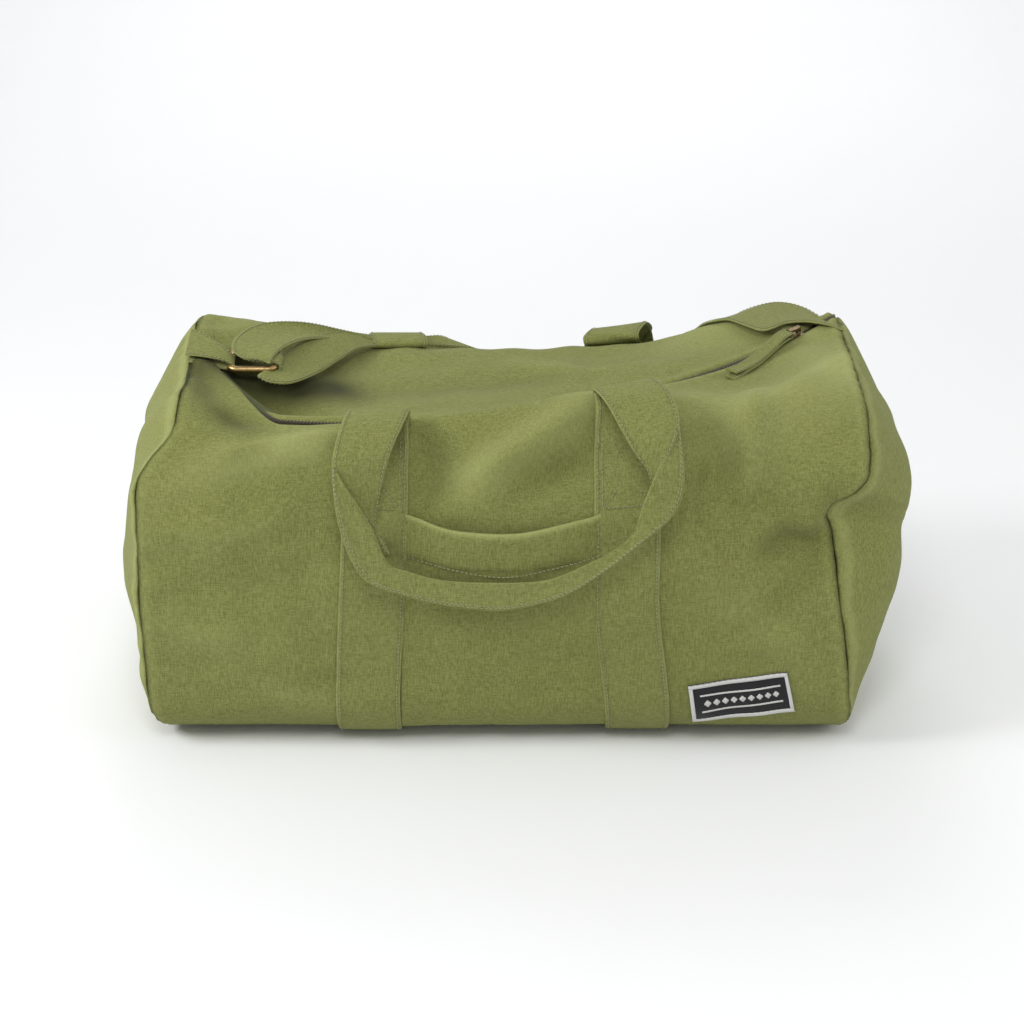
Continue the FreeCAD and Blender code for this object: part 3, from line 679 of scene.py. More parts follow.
def thread_material(name, colour):
    n = Nodes(name, Roughness=0.85, Sheen_Weight=0.2)
    ply = n.wave(900.0, "DIAGONAL", 0.6)
    n.colour(n.mix(n.span(ply, 0.0, 0.8), tuple(0.6 * c for c in colour), colour))
    n.bump(ply, 0.0002, 0.5)
    return n.material


thread = thread_material("cotton_thread", (0.35, 0.37, 0.17))


def coil_material():
    n = Nodes("zip_coil", Roughness=0.42, Specular_IOR_Level=0.5)
    n.colour(n.mix(n.noise(700.0), (0.028, 0.020, 0.012), (0.075, 0.052, 0.030)))
    n.rough(n.span(n.noise(900.0), 0.32, 0.6))
    n.bump(n.noise(1500.0), 0.0002, 0.4)
    return n.material


coil = coil_material()


# ---- weights of the opening mouth

LID = node_box("rear_top_panel")


def mouth_weight(x, y, z):
    """1 where the rear top panel lifts, falling to 0 at the crease's ends and at the zip's ends."""
    x, y, z = (np.asarray(v, float) for v in (x, y, z))
    t = np.clip((y - zip_y(x)) / np.maximum(CREASE_Y - zip_y(x), 1), 0, 1)
    left_edge = LID[0][0] + (-30 - LID[0][0]) * t
    right_edge = LID[1][0] + (135 - LID[1][0]) * t
    inside = np.minimum(x - left_edge, right_edge - x)
    across = smooth(0, 95, inside + 12)
    behind = (y > zip_y(x) - 1) & (z > 200)
    edge = smooth(CREASE_Y + 8, CREASE_Y - 22, y)
    return np.where(behind, across * edge, 0.0)


# ---- main skin

CHANNEL = 2.6           # the skin's edge stays this far from the zip's line
CLOTH = 1.5             # cloth thickness
SEAM_BAND = 12.0        # the grid is finer this close to an end seam


def make_main_skin():
    inner_end = HALF_LENGTH - SEAM_BAND
    x = np.concatenate([np.linspace(-HALF_LENGTH, -inner_end, 10)[:-1],
                        np.linspace(-inner_end, inner_end, 150),
                        np.linspace(inner_end, HALF_LENGTH, 10)[1:]])
    length = girth_length(TOP + rise(x))
    lip = np.array([0, 0.0012, 0.003, 0.006, 0.011])
    v = np.concatenate([lip, np.linspace(0.016, 0.984, 290), 1 - lip[::-1]])
    start = zip_s(x) + CHANNEL
    s = start[:, None] + v[None, :] * (length - 2 * CHANNEL)[:, None]
    grid_x = np.repeat(x[:, None], len(v), 1)
    points, normals = skin(grid_x, s)
    # the end edges dip into the seam, and both lips roll over beside the zip
    to_end = HALF_LENGTH - np.abs(grid_x)
    dip = 2.6 * bell(to_end, 3.2)
    pucker = 0.9 * np.sin(s / 2.1 + 2.0 * np.sin(s / 17.0)) * bell(to_end, 9.0)
    from_lip = np.minimum(v, 1 - v)[None, :] * length[:, None]
    welt = 2.2 * bell(from_lip, 6.0, 7) - 2.4 * bell(from_lip, 2.2)
    points = points + normals * (welt - dip + pucker)[..., None]
    # painted shade along the seam groove, a painted highlight on the ridge beside it and on the lips' roll
    # beside the zip, and the painted fold light and shade
    tone = -0.9 * bell(to_end, 1.3) + 0.15 * bell(to_end, 3.0, 6)
    tone = tone + 0.2 * bell(from_lip, 4.0, 6) + painted_fold_light(points)
    weight = mouth_weight(points[..., 0], points[..., 1], points[..., 2]) * (v[None, :] > 0.5)
    build = Build()
    build.shell(points, normals, CLOTH, tone, weight)
    panels = ("main_panel", "front_top_panel", "rear_top_panel", "top_corner_left", "top_corner_right")
    build.piece("bag_skin", canvas_skin, ("bag", "mouth"), "canvas", panels,
                ends=((0.0, CREASE_Y / 1000, 0.24), (0.0, 0.0, 0.25)))


# How far the end caps swell past their seams at each height: (height, left, right)
CAP_SWELL = np.array([(3, 14, 10), (31, 24, 16), (60, 33, 25), (90, 38, 31), (110, 40, 35), (135, 38, 39),
                      (163, 34, 43), (190, 31, 43), (230, 31, 41), (255, 29, 39), (280, 24, 30)], float)
CAP_FOLDS = [([(-90, 200), (-20, 165), (60, 150)], 3, 18), ([(-110, 90), (-30, 70), (70, 80)], -4, 18),
             ([(-60, 235), (0, 205), (80, 215)], -4, 14), ([(-100, 140), (-20, 120), (50, 110)], 3, 16)]
CAP_MIDDLE = 128.0      # height of an end cap's centre


def end_rim(sign, cols):
    """Places round the girth at an end seam."""
    return np.linspace(0, girth_length(TOP + rise(sign * HALF_LENGTH)), cols, endpoint=False)


def make_end_cap(sign, side):
    """A crowned panel set into the end seam; r runs from 0 at the seam to 1 at the centre."""
    cols, rows = 220, 56
    rim, rim_normals = skin(np.full(cols, sign * HALF_LENGTH), end_rim(sign, cols))
    rim = rim - rim_normals * 4.5
    centre = np.array([sign * HALF_LENGTH, 0.0, CAP_MIDDLE])
    r = np.concatenate([[0, 0.006, 0.014, 0.025, 0.04], np.linspace(0.06, 0.97, rows - 5)])[:, None]
    grid = rim[None] * (1 - r[..., None]) + centre * r[..., None]
    z = grid[..., 2]
    wander = (rim[None, :, 0] - centre[0]) * bell(r, 0.16)
    swell = np.interp(z, CAP_SWELL[:, 0], CAP_SWELL[:, 1 if sign < 0 else 2])
    depth = 1 - (1 - np.clip(r / 0.6, 0, 1)) ** 2
    puff = 4.2 * (1 - np.exp(-r / 0.012)) * bell(r, 0.13)
    grid = grid + unit(rim - centre)[None] * puff[..., None]
    grid[..., 0] = centre[0] + wander + sign * swell * depth
    around = np.arctan2(z - CAP_MIDDLE, grid[..., 1])
    ripple = 1.3 * np.sin(around * 13 + sign) + 0.7 * np.sin(around * 37)
    wrinkle = 2.0 * noise3(grid, 95.0, 11 + (sign > 0)) * smooth(0, 0.2, r)
    grid[..., 0] += sign * (wrinkle + ripple * bell(r, 0.06, 0.07))
    for line, height, width in CAP_FOLDS:
        d, t = to_polyline(grid[..., 1:], line)
        grid[..., 0] += sign * height * bell(d, width) * np.sin(np.clip(t, 0.05, 0.95) * math.pi)
    grid[..., 2] = np.maximum(grid[..., 2], FOOT)
    # painted shade along the seam, a painted highlight on the puffed band inside it, and the left cap painted
    # lighter all over for the light from the left
    tone = 0.4 * bell(r, 0.02, 0.05) - bell(r, 0.009) + (0.22 if sign < 0 else 0.0)
    normals = unit(np.cross(np.gradient(grid, axis=0), np.roll(grid, -1, 1) - np.roll(grid, 1, 1)))
    if normals[rows // 2, :, 0].mean() * sign < 0:
        normals = -normals
    tip = grid[-1].mean(0)
    build = Build()
    build.shell(grid, normals, CLOTH, tone, wrap=True, tips=[tip, tip - [sign * CLOTH, 0, 0]])
    build.piece("end_cap_%s_cloth" % side, canvas_skin, "bag", "canvas", ("end_cap_" + side,))


make_main_skin()
make_end_cap(-1, "left")
make_end_cap(1, "right")


# ---- bindings inside the end seams

def make_binding(sign, side):
    """A folded tape that lies 8 mm inside the skin along an end seam."""
    cols = 160
    rings = [skin(np.full(cols, sign * (HALF_LENGTH - d)), end_rim(sign, cols), -8.0) for d in (3, 8, 14, 20)]
    grid, normals = (np.stack(rows) for rows in zip(*rings))
    build = Build()
    build.shell(grid, normals, 1.2, wrap=True)
    build.piece("seam_binding_%s_tape" % side, canvas_lining, "bag", "binding", ("seam_binding_" + side,))


make_binding(-1, "left")
make_binding(1, "right")


# ---- zip

ZIP_LEFT, ZIP_RIGHT = -233.0, 262.0


def on_zip(x):
    return np.stack([x, zip_y(x), zip_z(x)], -1)


def zip_line(x, offset, lift):
    """Points beside the zip's line: offset towards the front, lift off the cloth."""
    step = 0.5
    along = unit(on_zip(x + step) - on_zip(x - step))
    up = np.array([0.0, ZIP_AXIS[1], ZIP_AXIS[2]])
    side = unit(np.cross(along, up))
    normal = unit(np.cross(side, along))
    return on_zip(x) + side * offset + normal * lift, side, normal


def even_zip_x(pitch):
    """Places along X that are evenly spaced along the zip's line."""
    x = np.linspace(ZIP_LEFT, ZIP_RIGHT, 2400)
    length = run_of(on_zip(x))
    return np.interp(np.arange(0, length[-1], pitch), length, x)


def zip_piece(build, sign, name, material, slot, nodes):
    """The front half of the zip stays on the bag; the rear half opens with the mouth."""
    if sign > 0:
        build.piece(name, material, "bag", slot, nodes)
    else:
        build.piece(name, material, ("bag", "mouth"), slot, nodes, ends=((0, 0.1, 0.25), (0, 0, 0.25)))


def zip_weight(x, sign):
    return mouth_weight(x, zip_y(x) + 1, zip_z(x)) * (sign < 0)


def make_tape(sign, name, nodes):
    x = even_zip_x(3.0)
    inner, _, normal = zip_line(x, sign * 0.4, -1.2)
    outer = zip_line(x, sign * 11.0, -2.6)[0]
    build = Build()
    ribbon(build, inner, outer, 0.9, weight=zip_weight(x, sign), normals=normal)
    zip_piece(build, sign, name, tape_cloth, "zip_tape", nodes)


COIL_PITCH = 2.6
# Each turn of the coil is a short rounded loop that reaches over the middle: (reach, radius)
COIL_TURN = ((-1.5, 0.4), (-1.0, 0.66), (0.0, 0.58), (1.1, 0.66), (1.7, 0.4))


def make_coil(sign, name, nodes):
    x = even_zip_x(COIL_PITCH) + (0.0 if sign > 0 else COIL_PITCH / 2)
    here, side, normal = zip_line(x, sign * 1.0, 0.0)
    along = unit(np.cross(normal, side))
    sides = 6
    angle = np.linspace(0, 2 * math.pi, sides, endpoint=False)[None, :, None]
    rings = []
    for reach, radius in COIL_TURN:
        centre = here - side * (sign * reach) + along * (0.28 * reach * sign)
        round_it = normal[:, None] * np.sin(angle) + along[:, None] * np.cos(angle)
        rings.append(centre[:, None] + radius * round_it)
    size = len(COIL_TURN) * sides
    turn = grid_faces(len(COIL_TURN), sides, True)
    turn += [tuple(range(sides))[::-1], tuple(range(size - sides, size))]
    faces = [tuple(k * size + i for i in f) for k in range(len(x)) for f in turn]
    build = Build()
    build.add(np.stack(rings, 1), faces, 0.0, np.repeat(zip_weight(x, sign), size))
    zip_piece(build, sign, name, coil, "coil", nodes)


make_tape(1, "zip_tape_front_cloth", ("zip_tape_front",))
make_tape(-1, "zip_tape_rear_cloth", ("zip_tape_rear", "zip_tape_ends"))
make_coil(1, "zip_teeth_front", ("zip_coil_front",))
make_coil(-1, "zip_teeth_rear", ("zip_coil_rear", "zip_coil_ends"))


# ---- webbing legs round the bag

LEG_LIFT = 2.1          # middle of the webbing over the skin
GIRTH = girth_length(TOP)


def leg_x(middle, z):
    """A leg leans outwards towards the bag's base."""
    if middle < 0:
        return middle - 9.0 * smooth(210, 20, z)
    return middle - 3.0 + 12.0 * smooth(140, 10, z)


def make_leg(middle, side, sewn):
    """One webbing loop from the front, under the base and up the back, on the skin."""
    s = np.linspace(CREST_S - 4, GIRTH - CREST_S, 340)
    centre = leg_x(middle, outline(s, TOP)[1])
    left, normals = skin(centre - WEBBING / 2, s, LEG_LIFT)
    right = skin(centre + WEBBING / 2, s, LEG_LIFT)[0]
    for edge in (left, right):
        edge[:, 2] = np.maximum(edge[:, 2], WEBBING_THICK / 2)
    build = Build()
    ribbon(build, left, right, normals=normals)
    name = "girth_strap_" + side
    build.piece(name + "_webbing", canvas_strap, "bag", "strap_canvas", (name,))
    edge_threads(sewn, left, right, normals, faces=(1,))


def x_box(build, middle, low, front):
    """A sewn square with a cross in it, on a leg."""
    half, high = WEBBING / 2 - 6, low + 36
    square = [(-half, low), (half, low), (half, high), (-half, high), (-half, low), (half, high)]
    for stroke in (square, [(-half, high), (half, low)]):
        for (xa, za), (xb, zb) in zip(stroke, stroke[1:]):
            z = np.linspace(za, zb, 20)
            s = front_s(z) if front else GIRTH - front_s(z)
            path, normals = skin(leg_x(middle, z) + np.linspace(xa, xb, 20), s, LEG_LIFT + WEBBING_THICK / 2)
            stitches(build, path, normals)


leg_threads, box_threads = Build(), Build()
for middle, side in ((LEFT_LEG, "left"), (RIGHT_LEG, "right")):
    make_leg(middle, side, leg_threads)
    x_box(box_threads, middle, 200, True)
    x_box(box_threads, middle, 190, False)
leg_threads.piece("leg_edge_stitching", thread, "bag", "thread")
box_threads.piece("handle_box_stitching", thread, "bag", "thread", ("handle_stitching",))


# ---- handles

# Each rail is a smooth curve. Its points are places of the front handle in the photograph, turned into
# millimetres by a small camera script at depths chosen by hand, and then moved a little.
LEFT_FALL = (
    [(-121, -114, 268), (-124, -134, 266), (-128, -150, 254), (-129, -157, 240), (-118, -159, 219),
     (-103, -157, 197), (-90, -155, 172)],
    [(-75, -114, 269), (-79, -134, 266), (-86, -148, 254), (-92, -152, 236), (-97, -153, 214),
     (-101, -153, 195), (-94, -152, 172)])
RIGHT_FALL = (
    [(60, -108, 283), (68, -130, 281), (78, -144, 267), (88, -151, 251), (99, -154, 236),
     (101, -155, 218), (92, -155, 196)],
    [(106, -102, 289), (114, -126, 289), (120, -146, 278), (118, -155, 265), (110, -158, 245),
     (103, -158, 222), (94, -157, 198)])
GRIP_LOW = [
    (-129, -157, 241), (-129, -163, 229), (-126, -167, 203), (-118, -170, 176), (-105, -172, 157),
    (-80, -173, 147), (-48, -174, 139), (-12, -174, 135), (14, -174, 139), (41, -173, 148),
    (68, -171, 166), (90, -169, 184), (113, -165, 203), (123, -161, 220), (124, -159, 241),
    (120, -150, 272)]
GRIP_HIGH = [
    (-127, -157, 240), (-119, -162, 228), (-102, -165, 199), (-91, -168, 172), (-77, -169, 165),
    (-50, -170, 158), (-12, -170, 156), (24, -170, 158), (50, -169, 168), (74, -167, 181),
    (88, -165, 194), (95, -162, 216), (106, -158, 244), (118, -150, 271)]


def make_handle(end):
    """Two risers that leave the sewn legs and turn over at the crease, and the folded grip between them."""
    rear = end == "rear"
    crease = REAR_CREASE if rear else FRONT_CREASE
    build, sewn = Build(), Build()

    def place(points):
        """The rear handle is the front one mirrored, a little lower and leaning over the top."""
        p = np.array(points, float)
        if rear:
            left_side = 1 - smooth(-60, 60, p[:, 0])
            leaning = left_side * smooth(205, 262, p[:, 2])
            p += np.stack([5 * leaning, -2 * p[:, 1] - 31 * leaning,
                           (20 * left_side - 33) * smooth(185, 280, p[:, 2])], -1)
        return p

    feet_s = np.array([134.0, 122.0, 112.0])
    feet_s = GIRTH - feet_s if rear else feet_s
    feet_z = outline(feet_s, TOP)[1]
    behind = [0, -4.2 if rear else 4.2, -5.0]
    for middle, falls in ((LEFT_LEG, LEFT_FALL), (RIGHT_LEG, RIGHT_FALL)):
        rails = []
        for edge, fall in zip((-WEBBING / 2, WEBBING / 2), falls):
            feet = skin(leg_x(middle, feet_z) + edge, feet_s, np.array([0.2, 2.2, 4.4]))[0]
            rail = place(fall)
            rails.append(np.vstack([feet, rail[0] + behind, rail]))
        rows = 210
        climb = run_of(rails[0][:5])[-1] / run_of(spline(rails[0], rows))[-1]
        weight = smooth(climb, climb + 0.13, np.linspace(0, 1, rows))
        rail_pair(build, sewn, rails[0], rails[1], rows, weight)
    low, high = spline(place(GRIP_LOW), 170), spline(place(GRIP_HIGH), 170)
    normals = ribbon(build, low, high, 5.0, crown=0.8, weight=1.0)
    edge_threads(sewn, low + normals * 0.5, high + normals * 0.5, normals, 4.9, 1.0, (0.10, 0.17))
    ends = (tuple((crease + [0, 0, -20]) / 1000), tuple((crease + [0, 0, 20]) / 1000))
    body = end + "_handle"
    build.piece(body + "_webbing", canvas_strap, ("bag", body), "strap_canvas", (body,), ends=ends)
    sewn.piece(body + "_stitching", thread, ("bag", body), "thread", ends=ends)


make_handle("front")
make_handle("rear")


# ---- front pocket

HEM = 28.0              # the pocket's hem is turned in this far


def pocket_mouth(u):
    """Height of the pocket's mouth, u across it from 0 to 1."""
    return 186.0 + 11.0 * (2 * u - 1) ** 2


def gape(u, z):
    """How far the empty pocket stands off the bag."""
    return 9.5 * np.sin(np.clip(u, 0, 1) * math.pi) ** 0.8 * smooth(40, 190, z)


def make_pocket():
    left, right = LEFT_LEG + WEBBING / 2 - 3, RIGHT_LEG - WEBBING / 2 + 3
    u = np.linspace(0, 1, 90)[None, :]
    v = np.linspace(0, 1, 110)[:, None]
    mouth = pocket_mouth(u)
    z = mouth * (1 - v) + 14.0 * v
    x = left + (right - left) * u + 6.0 * (2 * u - 1) * v
    points, normals = skin(x, front_s(z), 1.9 + gape(u, z))
    below = mouth - z
    roll = 0.9 * bell(below, 3.0, 2) - 0.8 * bell(below, 1.6, HEM)
    roll = roll + 0.4 * np.sin(x / 7.0) * bell(below, 9.0, 30)
    # a painted highlight along the mouth's rolled edge and painted shade along the hem's stitch line
    tone = 0.8 * bell(below, 2.2) - 0.25 * bell(below, 1.5, HEM)
    build = Build()
    build.shell(points + normals * roll[..., None], normals, CLOTH, tone)
    build.piece("front_pocket_cloth", canvas_skin, "bag", "canvas", ("front_pocket",))
    # the turned-in hem behind the mouth, and its row of stitches
    z = (mouth - HEM * v)[::4]
    points, normals = skin(left + (right - left) * u + 0 * z, front_s(z), 0.2 + gape(u, z))
    fold = Build()
    fold.shell(points, normals, 1.2, 0.2)
    fold.piece("pocket_hem_fold", canvas_skin, "bag", "canvas", ("pocket_hem",))
    x = np.linspace(left + 2, right - 2, 60)
    u = (x - left) / (right - left)
    z = pocket_mouth(u) - HEM - 3.0 * bell(u, 0.2, 0.5)
    path, normals = skin(x, front_s(z), 2.2 + gape(u, z))
    sewn = Build()
    stitches(sewn, path, normals, sink=0.6)
    sewn.piece("pocket_hem_stitching", thread, "bag", "thread")


make_pocket()


# ---- label patch

def patch_material(name, colour):
    n = Nodes(name, Roughness=0.8, Sheen_Weight=0.15, Specular_IOR_Level=0.25)
    ribs = n.wave(420.0, "Z", 0.4)
    n.colour(n.mix(n.span(ribs, 0.0, 1.0), tuple(0.55 * c for c in colour), colour))
    n.bump(ribs, 0.0003, 0.5)
    return n.material


PATCH_S = np.linspace(185.0, 340.0, 400)


def make_patch():
    black = patch_material("patch_black", (0.016, 0.016, 0.018))
    white = patch_material("patch_white", (0.80, 0.80, 0.77))
    centre_x, centre_z, half_x, half_z = 174.0, 47.0, 41.0, 17.5
    turn = math.radians(9.5)

    def patch_s(z):
        # the lower corner curves under, so low places are measured on along the outline
        heights = outline(PATCH_S, TOP)[1]
        return np.interp(-z, -heights, PATCH_S)

    def on_patch(u, v, lift):
        x = centre_x + u * math.cos(turn) - v * math.sin(turn)
        z = centre_z + v * math.cos(turn) + u * math.sin(turn)
        return skin(x + 3.0, patch_s(z) + rise(x), lift)

    def plate(build, u0, u1, v0, v1, lift, thick):
        u = np.linspace(u0, u1, max(3, int(abs(u1 - u0) / 2)))[None, :]
        v = np.linspace(v0, v1, max(3, int(abs(v1 - v0) / 2)))[:, None]
        points, normals = on_patch(u + 0 * v, v + 0 * u, lift)
        build.shell(points, normals, thick)

    body, light = Build(), Build()
    plate(body, -half_x, half_x, -half_z, half_z, 1.7, 1.6)
    body.piece("label_patch_cloth", black, "bag", "patch", ("label_patch",))
    border = 3.0
    in_x, in_z = half_x - border, half_z - border
    for u0, u1, v0, v1 in ((-half_x, half_x, in_z, half_z), (-half_x, half_x, -half_z, -in_z),
                           (-half_x, -in_x, -in_z, in_z), (in_x, half_x, -in_z, in_z)):
        plate(light, u0, u1, v0, v1, 2.1, 1.2)
    # a plain woven motif: a row of small stepped diamonds between two bars
    diamond, steps = 2.6, 4
    for u in np.arange(9) * 7.0 - 28.0:
        for step in range(steps):
            w = diamond * (1 - step / steps)
            h = diamond * (step + 1) / steps
            plate(light, u - w, u + w, -h, h, 2.0 + 0.02 * step, 1.1)
    for v in (6.4, -7.8):
        plate(light, -33.0, 33.0, v, v + 1.4, 2.0, 1.1)
    light.piece("label_patch_border", white, "bag", "patch")


make_patch()


# ---- shoulder strap, its tab, ring and adjuster

# Each strip is two rails, smooth curves through a few points, and how many rows it has. Points of the
# visible stretches started from places in the photograph, as the handles' did. The hidden ones are guesses.
SHOULDER_STRAP = [
    # from the ring over the top, twisting, and over the rear edge
    ([(-193, -20, 274), (-209, -19, 276), (-219, -6, 280), (-215, 16, 284), (-200, 34, 286),
      (-172, 50, 282), (-142, 68, 270), (-112, 90, 255), (-84, 106, 249), (-62, 122, 245),
      (-54, 146, 228), (-54, 152, 200)],
     [(-187, -25, 273), (-184, -16, 277), (-178, 0, 278), (-167, 22, 276), (-152, 44, 270),
      (-134, 62, 261), (-112, 82, 250), (-84, 96, 245.5), (-50, 108, 240.5), (-26, 120, 232),
      (-10, 137, 216), (-6, 152, 198)], 150),
    # the doubled-back layer under it
    ([(-190, -24, 268), (-184, -10, 268), (-176, 14, 270), (-162, 42, 272), (-142, 66, 268),
      (-112, 94, 255), (-72, 118, 246), (-55, 144, 232), (-53, 150, 200), (-53, 150, 165)],
     [(-196, -34, 267), (-186, -38, 263), (-170, -32, 260), (-152, -4, 258), (-137, 28, 258),
      (-124, 56, 257), (-104, 84, 249), (-62, 102, 240), (-22, 118, 231), (-6, 142, 208),
      (-6, 150, 165)], 120),
    # the loose loop behind the bag
    ([(-54, 152, 205), (-54, 152, 120), (-48, 154, 66), (-18, 158, 28), (40, 160, 14), (92, 160, 14),
      (144, 158, 30), (172, 154, 70), (175, 152, 130), (175, 152, 205)],
     [(-6, 152, 205), (-6, 152, 120), (-3, 155, 88), (12, 160, 68), (44, 162, 60), (86, 162, 60),
      (112, 160, 72), (124, 156, 96), (126, 153, 135), (126, 152, 205)], 120),
    # up over the rear edge to the right seam
    ([(175, 152, 198), (178, 150, 228), (185, 132, 250), (191, 115, 267), (205, 109, 276),
      (222, 107, 280), (242, 104, 276), (262, 96, 265)],
     [(126, 152, 198), (134, 149, 226), (152, 118, 251), (158, 97, 264), (165.5, 80, 272.5),
      (176, 68, 277.5), (188, 47, 279.5), (199, 32, 280.5), (209, 35, 282), (220, 45, 282.5),
      (236, 47, 283), (252, 43, 282), (266, 41, 278)], 130),
]
RING_GATHER = [
    ([(-198, -6, 276.5), (-190, -6, 276.5), (-182, -6, 275), (-179.5, -6, 271), (-183, -6, 266.5),
      (-190, -8, 266)],
     [(-194, -21, 274), (-187, -21, 273.5), (-181.5, -21, 272), (-179.5, -21, 269), (-182, -21, 265),
      (-190, -24, 264.5)], 60),
]
STRAP_TAB = [
    ([(-252, 14, 289), (-243, 8, 287), (-232, 0, 283.5), (-223, -8, 279), (-216, -10, 273.5),
      (-223, -8, 271), (-232, -2, 275), (-243, 4, 280), (-250, 10, 283)],
     [(-252, -24, 280), (-244, -23, 279), (-233, -22, 277), (-223, -20.5, 274), (-216, -20, 269.5),
      (-223, -20.5, 267.5), (-233, -22, 270.5), (-244, -24, 274), (-250, -27, 275)], 120),
]


def sewn_webbing(name, threads_name, body, node, strips, thickness=WEBBING_THICK):
    build, sewn = Build(), Build()
    for left, right, rows in strips:
        rail_pair(build, sewn, left, right, rows, thickness=thickness)
    build.piece(name, canvas_strap, body, "strap_canvas", (node,))
    sewn.piece(threads_name, thread, body, "thread")


sewn_webbing("shoulder_strap_webbing", "shoulder_strap_stitching", "bag", "shoulder_strap", SHOULDER_STRAP)
# the gathered end round the ring moves with the ring, and the tab in the left seam holds the ring
sewn_webbing("strap_ring_gather", "strap_ring_gather_stitching", "strap_ring", "strap_ring_loop", RING_GATHER)
sewn_webbing("strap_tab_webbing", "strap_tab_stitching", "bag", "strap_tab", STRAP_TAB, 1.8)


def make_ring():
    """A rounded oblong of brass wire, its front side hanging lower than its back."""
    corner_x, corner_y, corner, wire = 11.0, 14.0, 6.5, 2.9
    centre = np.array([-201.5, -3.0, 271.0])
    lean = math.radians(8.0)
    turns = np.radians([np.linspace(start, start + 90, 12) for start in (0, 90, 180, 270)])
    x = np.array([[1], [-1], [-1], [1]]) * corner_x + corner * np.cos(turns)
    y = np.array([[1], [1], [-1], [-1]]) * corner_y + corner * np.sin(turns)
    x, y = x.reshape(-1), y.reshape(-1)
    middle = np.stack([x, y * math.cos(lean), y * math.sin(lean)], -1) + centre
    up = np.array([0, -math.sin(lean), math.cos(lean)])
    out = unit(np.cross(np.roll(middle, -1, 0) - np.roll(middle, 1, 0), up))
    angle = np.linspace(0, 2 * math.pi, 16, endpoint=False)[None, :, None]
    rings = middle[:, None] + wire * (np.cos(angle) * out[:, None] + np.sin(angle) * up)
    rows, cols = rings.shape[:2]
    faces = grid_faces(rows + 1, cols, True)
    build = Build()
    build.add(rings, [tuple(i % (rows * cols) for i in f) for f in faces])
    build.piece("strap_ring_brass", brass, "strap_ring", "brass", ("strap_ring",))


make_ring()


# ---- cloth pull on the slider

PULL_STRETCH = 1.18     # the cloth pull is this much longer than its distances below say


def make_pull():
    """A folded strip of cloth round the slider's ring, lying down on the bag."""
    hinge = np.array(joint("pull_tab_swing")["pos_m"]) * 1000
    across = np.array(joint("pull_tab_swing")["axis"])
    low, high = node_box("pull_tab")
    along = unit(np.cross(across, np.array([0, 0, 1.0])))
    if along @ (low - hinge) < 0:
        along = -along
    up = unit(np.cross(along, across))
    if up[2] < 0:
        up = -up
    middle = (low + high) / 2 - hinge
    along = unit(along + up * (middle @ up / max(1.0, middle @ along)))
    up = unit(up - along * (up @ along))

    def resting(d, clear):
        """A point of the pull d from its hinge, at a height over the cloth once it has come down to it."""
        point = hinge + along * d * PULL_STRETCH + across * (d / 66.0) ** 2
        s = -point[1] if point[1] > -FLAT else CREST_S
        cloth_z = skin(point[0], np.array(s))[0][..., 2]
        share = smooth(2, 34, d)
        point[2] = point[2] * (1 - share) + (float(cloth_z) + clear) * share
        return point

    over, below = hinge - along * 2 + up * 2.2, hinge - along * 2 - up * 1.6
    upper = [over] + [resting(d, 4.6) + up * 1.6 * (d < 9) for d in (8, 22, 36, 50)] + [resting(66, 5.6)]
    under = [below] + [resting(d, 2.8) - up * 1.6 * (d < 9) for d in (8, 22, 36, 50)] + [resting(69, 1.6)]
    nose = [over, hinge - along * 4.3 + up * 0.6, below]
    spread = across * 5.2
    build, sewn = Build(), Build()
    for line, splay, rows in ((upper, 0.0, 34), (under, 1.6, 34), (nose, 0.0, 12)):
        line = np.array(line) + across * splay * np.linspace(0, 1, len(line))[:, None]
        rail_pair(build, sewn, line - spread, line + spread, rows, thickness=1.5, edges=(0.14, 0.86))
    build.piece("pull_tab_cloth", canvas_strap, "pull_tab", "strap_canvas", ("pull_tab",))
    sewn.piece("pull_tab_stitching", thread, "pull_tab", "thread")


make_pull()


# ---- carried-over metal pieces

for name, material in (("zip_slider", bronze), ("pull_ring", bronze), ("zip_stops", bronze),
                       ("adjuster_frame", brass), ("adjuster_bar", brass)):
    obj = frame["nodes"][name]
    obj.data.materials.clear()
    obj.data.materials.append(material)


# ---- floor, light and camera

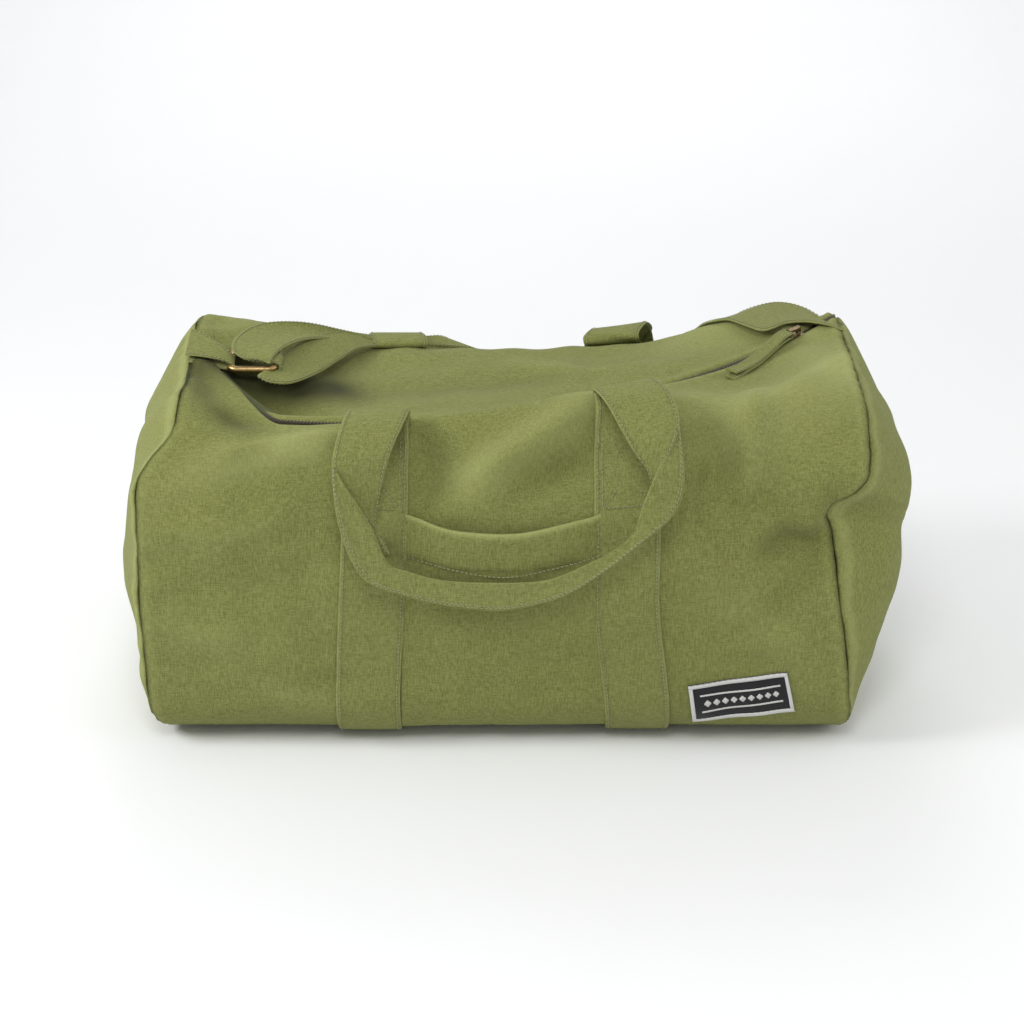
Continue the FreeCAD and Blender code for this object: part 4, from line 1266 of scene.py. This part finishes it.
def make_stage():
    n = Nodes("pale_floor", Roughness=0.75, Specular_IOR_Level=0.2)
    n.colour(n.mix(n.noise(1.5), (0.86, 0.87, 0.88), (0.90, 0.905, 0.91)))
    mesh = bpy.data.meshes.new("floor")
    # floor that curves up into a backdrop
    edge, bend = 2.2, 1.2
    curve = np.linspace(0, math.pi / 2, 14)
    curved = [(edge + bend * math.sin(a), bend - bend * math.cos(a)) for a in curve]
    profile = [(-4.0, 0.0)] + curved + [(edge + bend, 5.0)]
    verts = [(x, y, z) for x in (-5.0, 5.0) for y, z in profile]
    count = len(profile)
    faces = [(i, i + 1, count + i + 1, count + i) for i in range(count - 1)]
    mesh.from_pydata(verts, [], faces)
    mesh.polygons.foreach_set("use_smooth", [True] * len(mesh.polygons))
    mesh.materials.append(n.material)
    add_object("floor", mesh)


def area_light(name, place, target, size, power):
    light = bpy.data.lights.new(name, "AREA")
    light.shape = "DISK"
    light.size = size
    light.energy = power
    obj = add_object(name, light)
    obj.location = place
    obj.rotation_euler = (Vector(target) - Vector(place)).to_track_quat("-Z", "Y").to_euler()


make_stage()
area_light("left_softbox", (-1.4, -0.5, 1.15), (0, 0, 0.15), 0.6, 14)
area_light("right_softbox", (1.5, -0.4, 0.75), (0, 0, 0.15), 0.8, 5)
area_light("front_softbox", (-0.1, -1.25, 1.6), (0, 0, 0.15), 0.6, 9)
area_light("floor_wash", (0, 2.3, 2.3), (0, 2.35, 0), 1.6, 27)
world = bpy.data.worlds.new("studio")
world.use_nodes = True
background = world.node_tree.nodes["Background"]
background.inputs["Color"].default_value = (1.0, 1.0, 1.0, 1)
background.inputs["Strength"].default_value = 0.55
bpy.context.scene.world = world

bpy.context.scene.view_settings.view_transform = "Standard"
bpy.context.scene.view_settings.look = "None"

PITCH = math.radians(24.0)
DISTANCE = 1.65
TARGET = (0.0, 0.0, 0.137)
camera = bpy.data.cameras.new("camera")
camera.sensor_width = 36.0
camera.lens = 71.53
eye = add_object("camera", camera)
eye.location = (TARGET[0], TARGET[1] - DISTANCE * math.cos(PITCH), TARGET[2] + DISTANCE * math.sin(PITCH))
eye.rotation_euler = (math.pi / 2 - PITCH, 0, 0)
bpy.context.scene.camera = eye
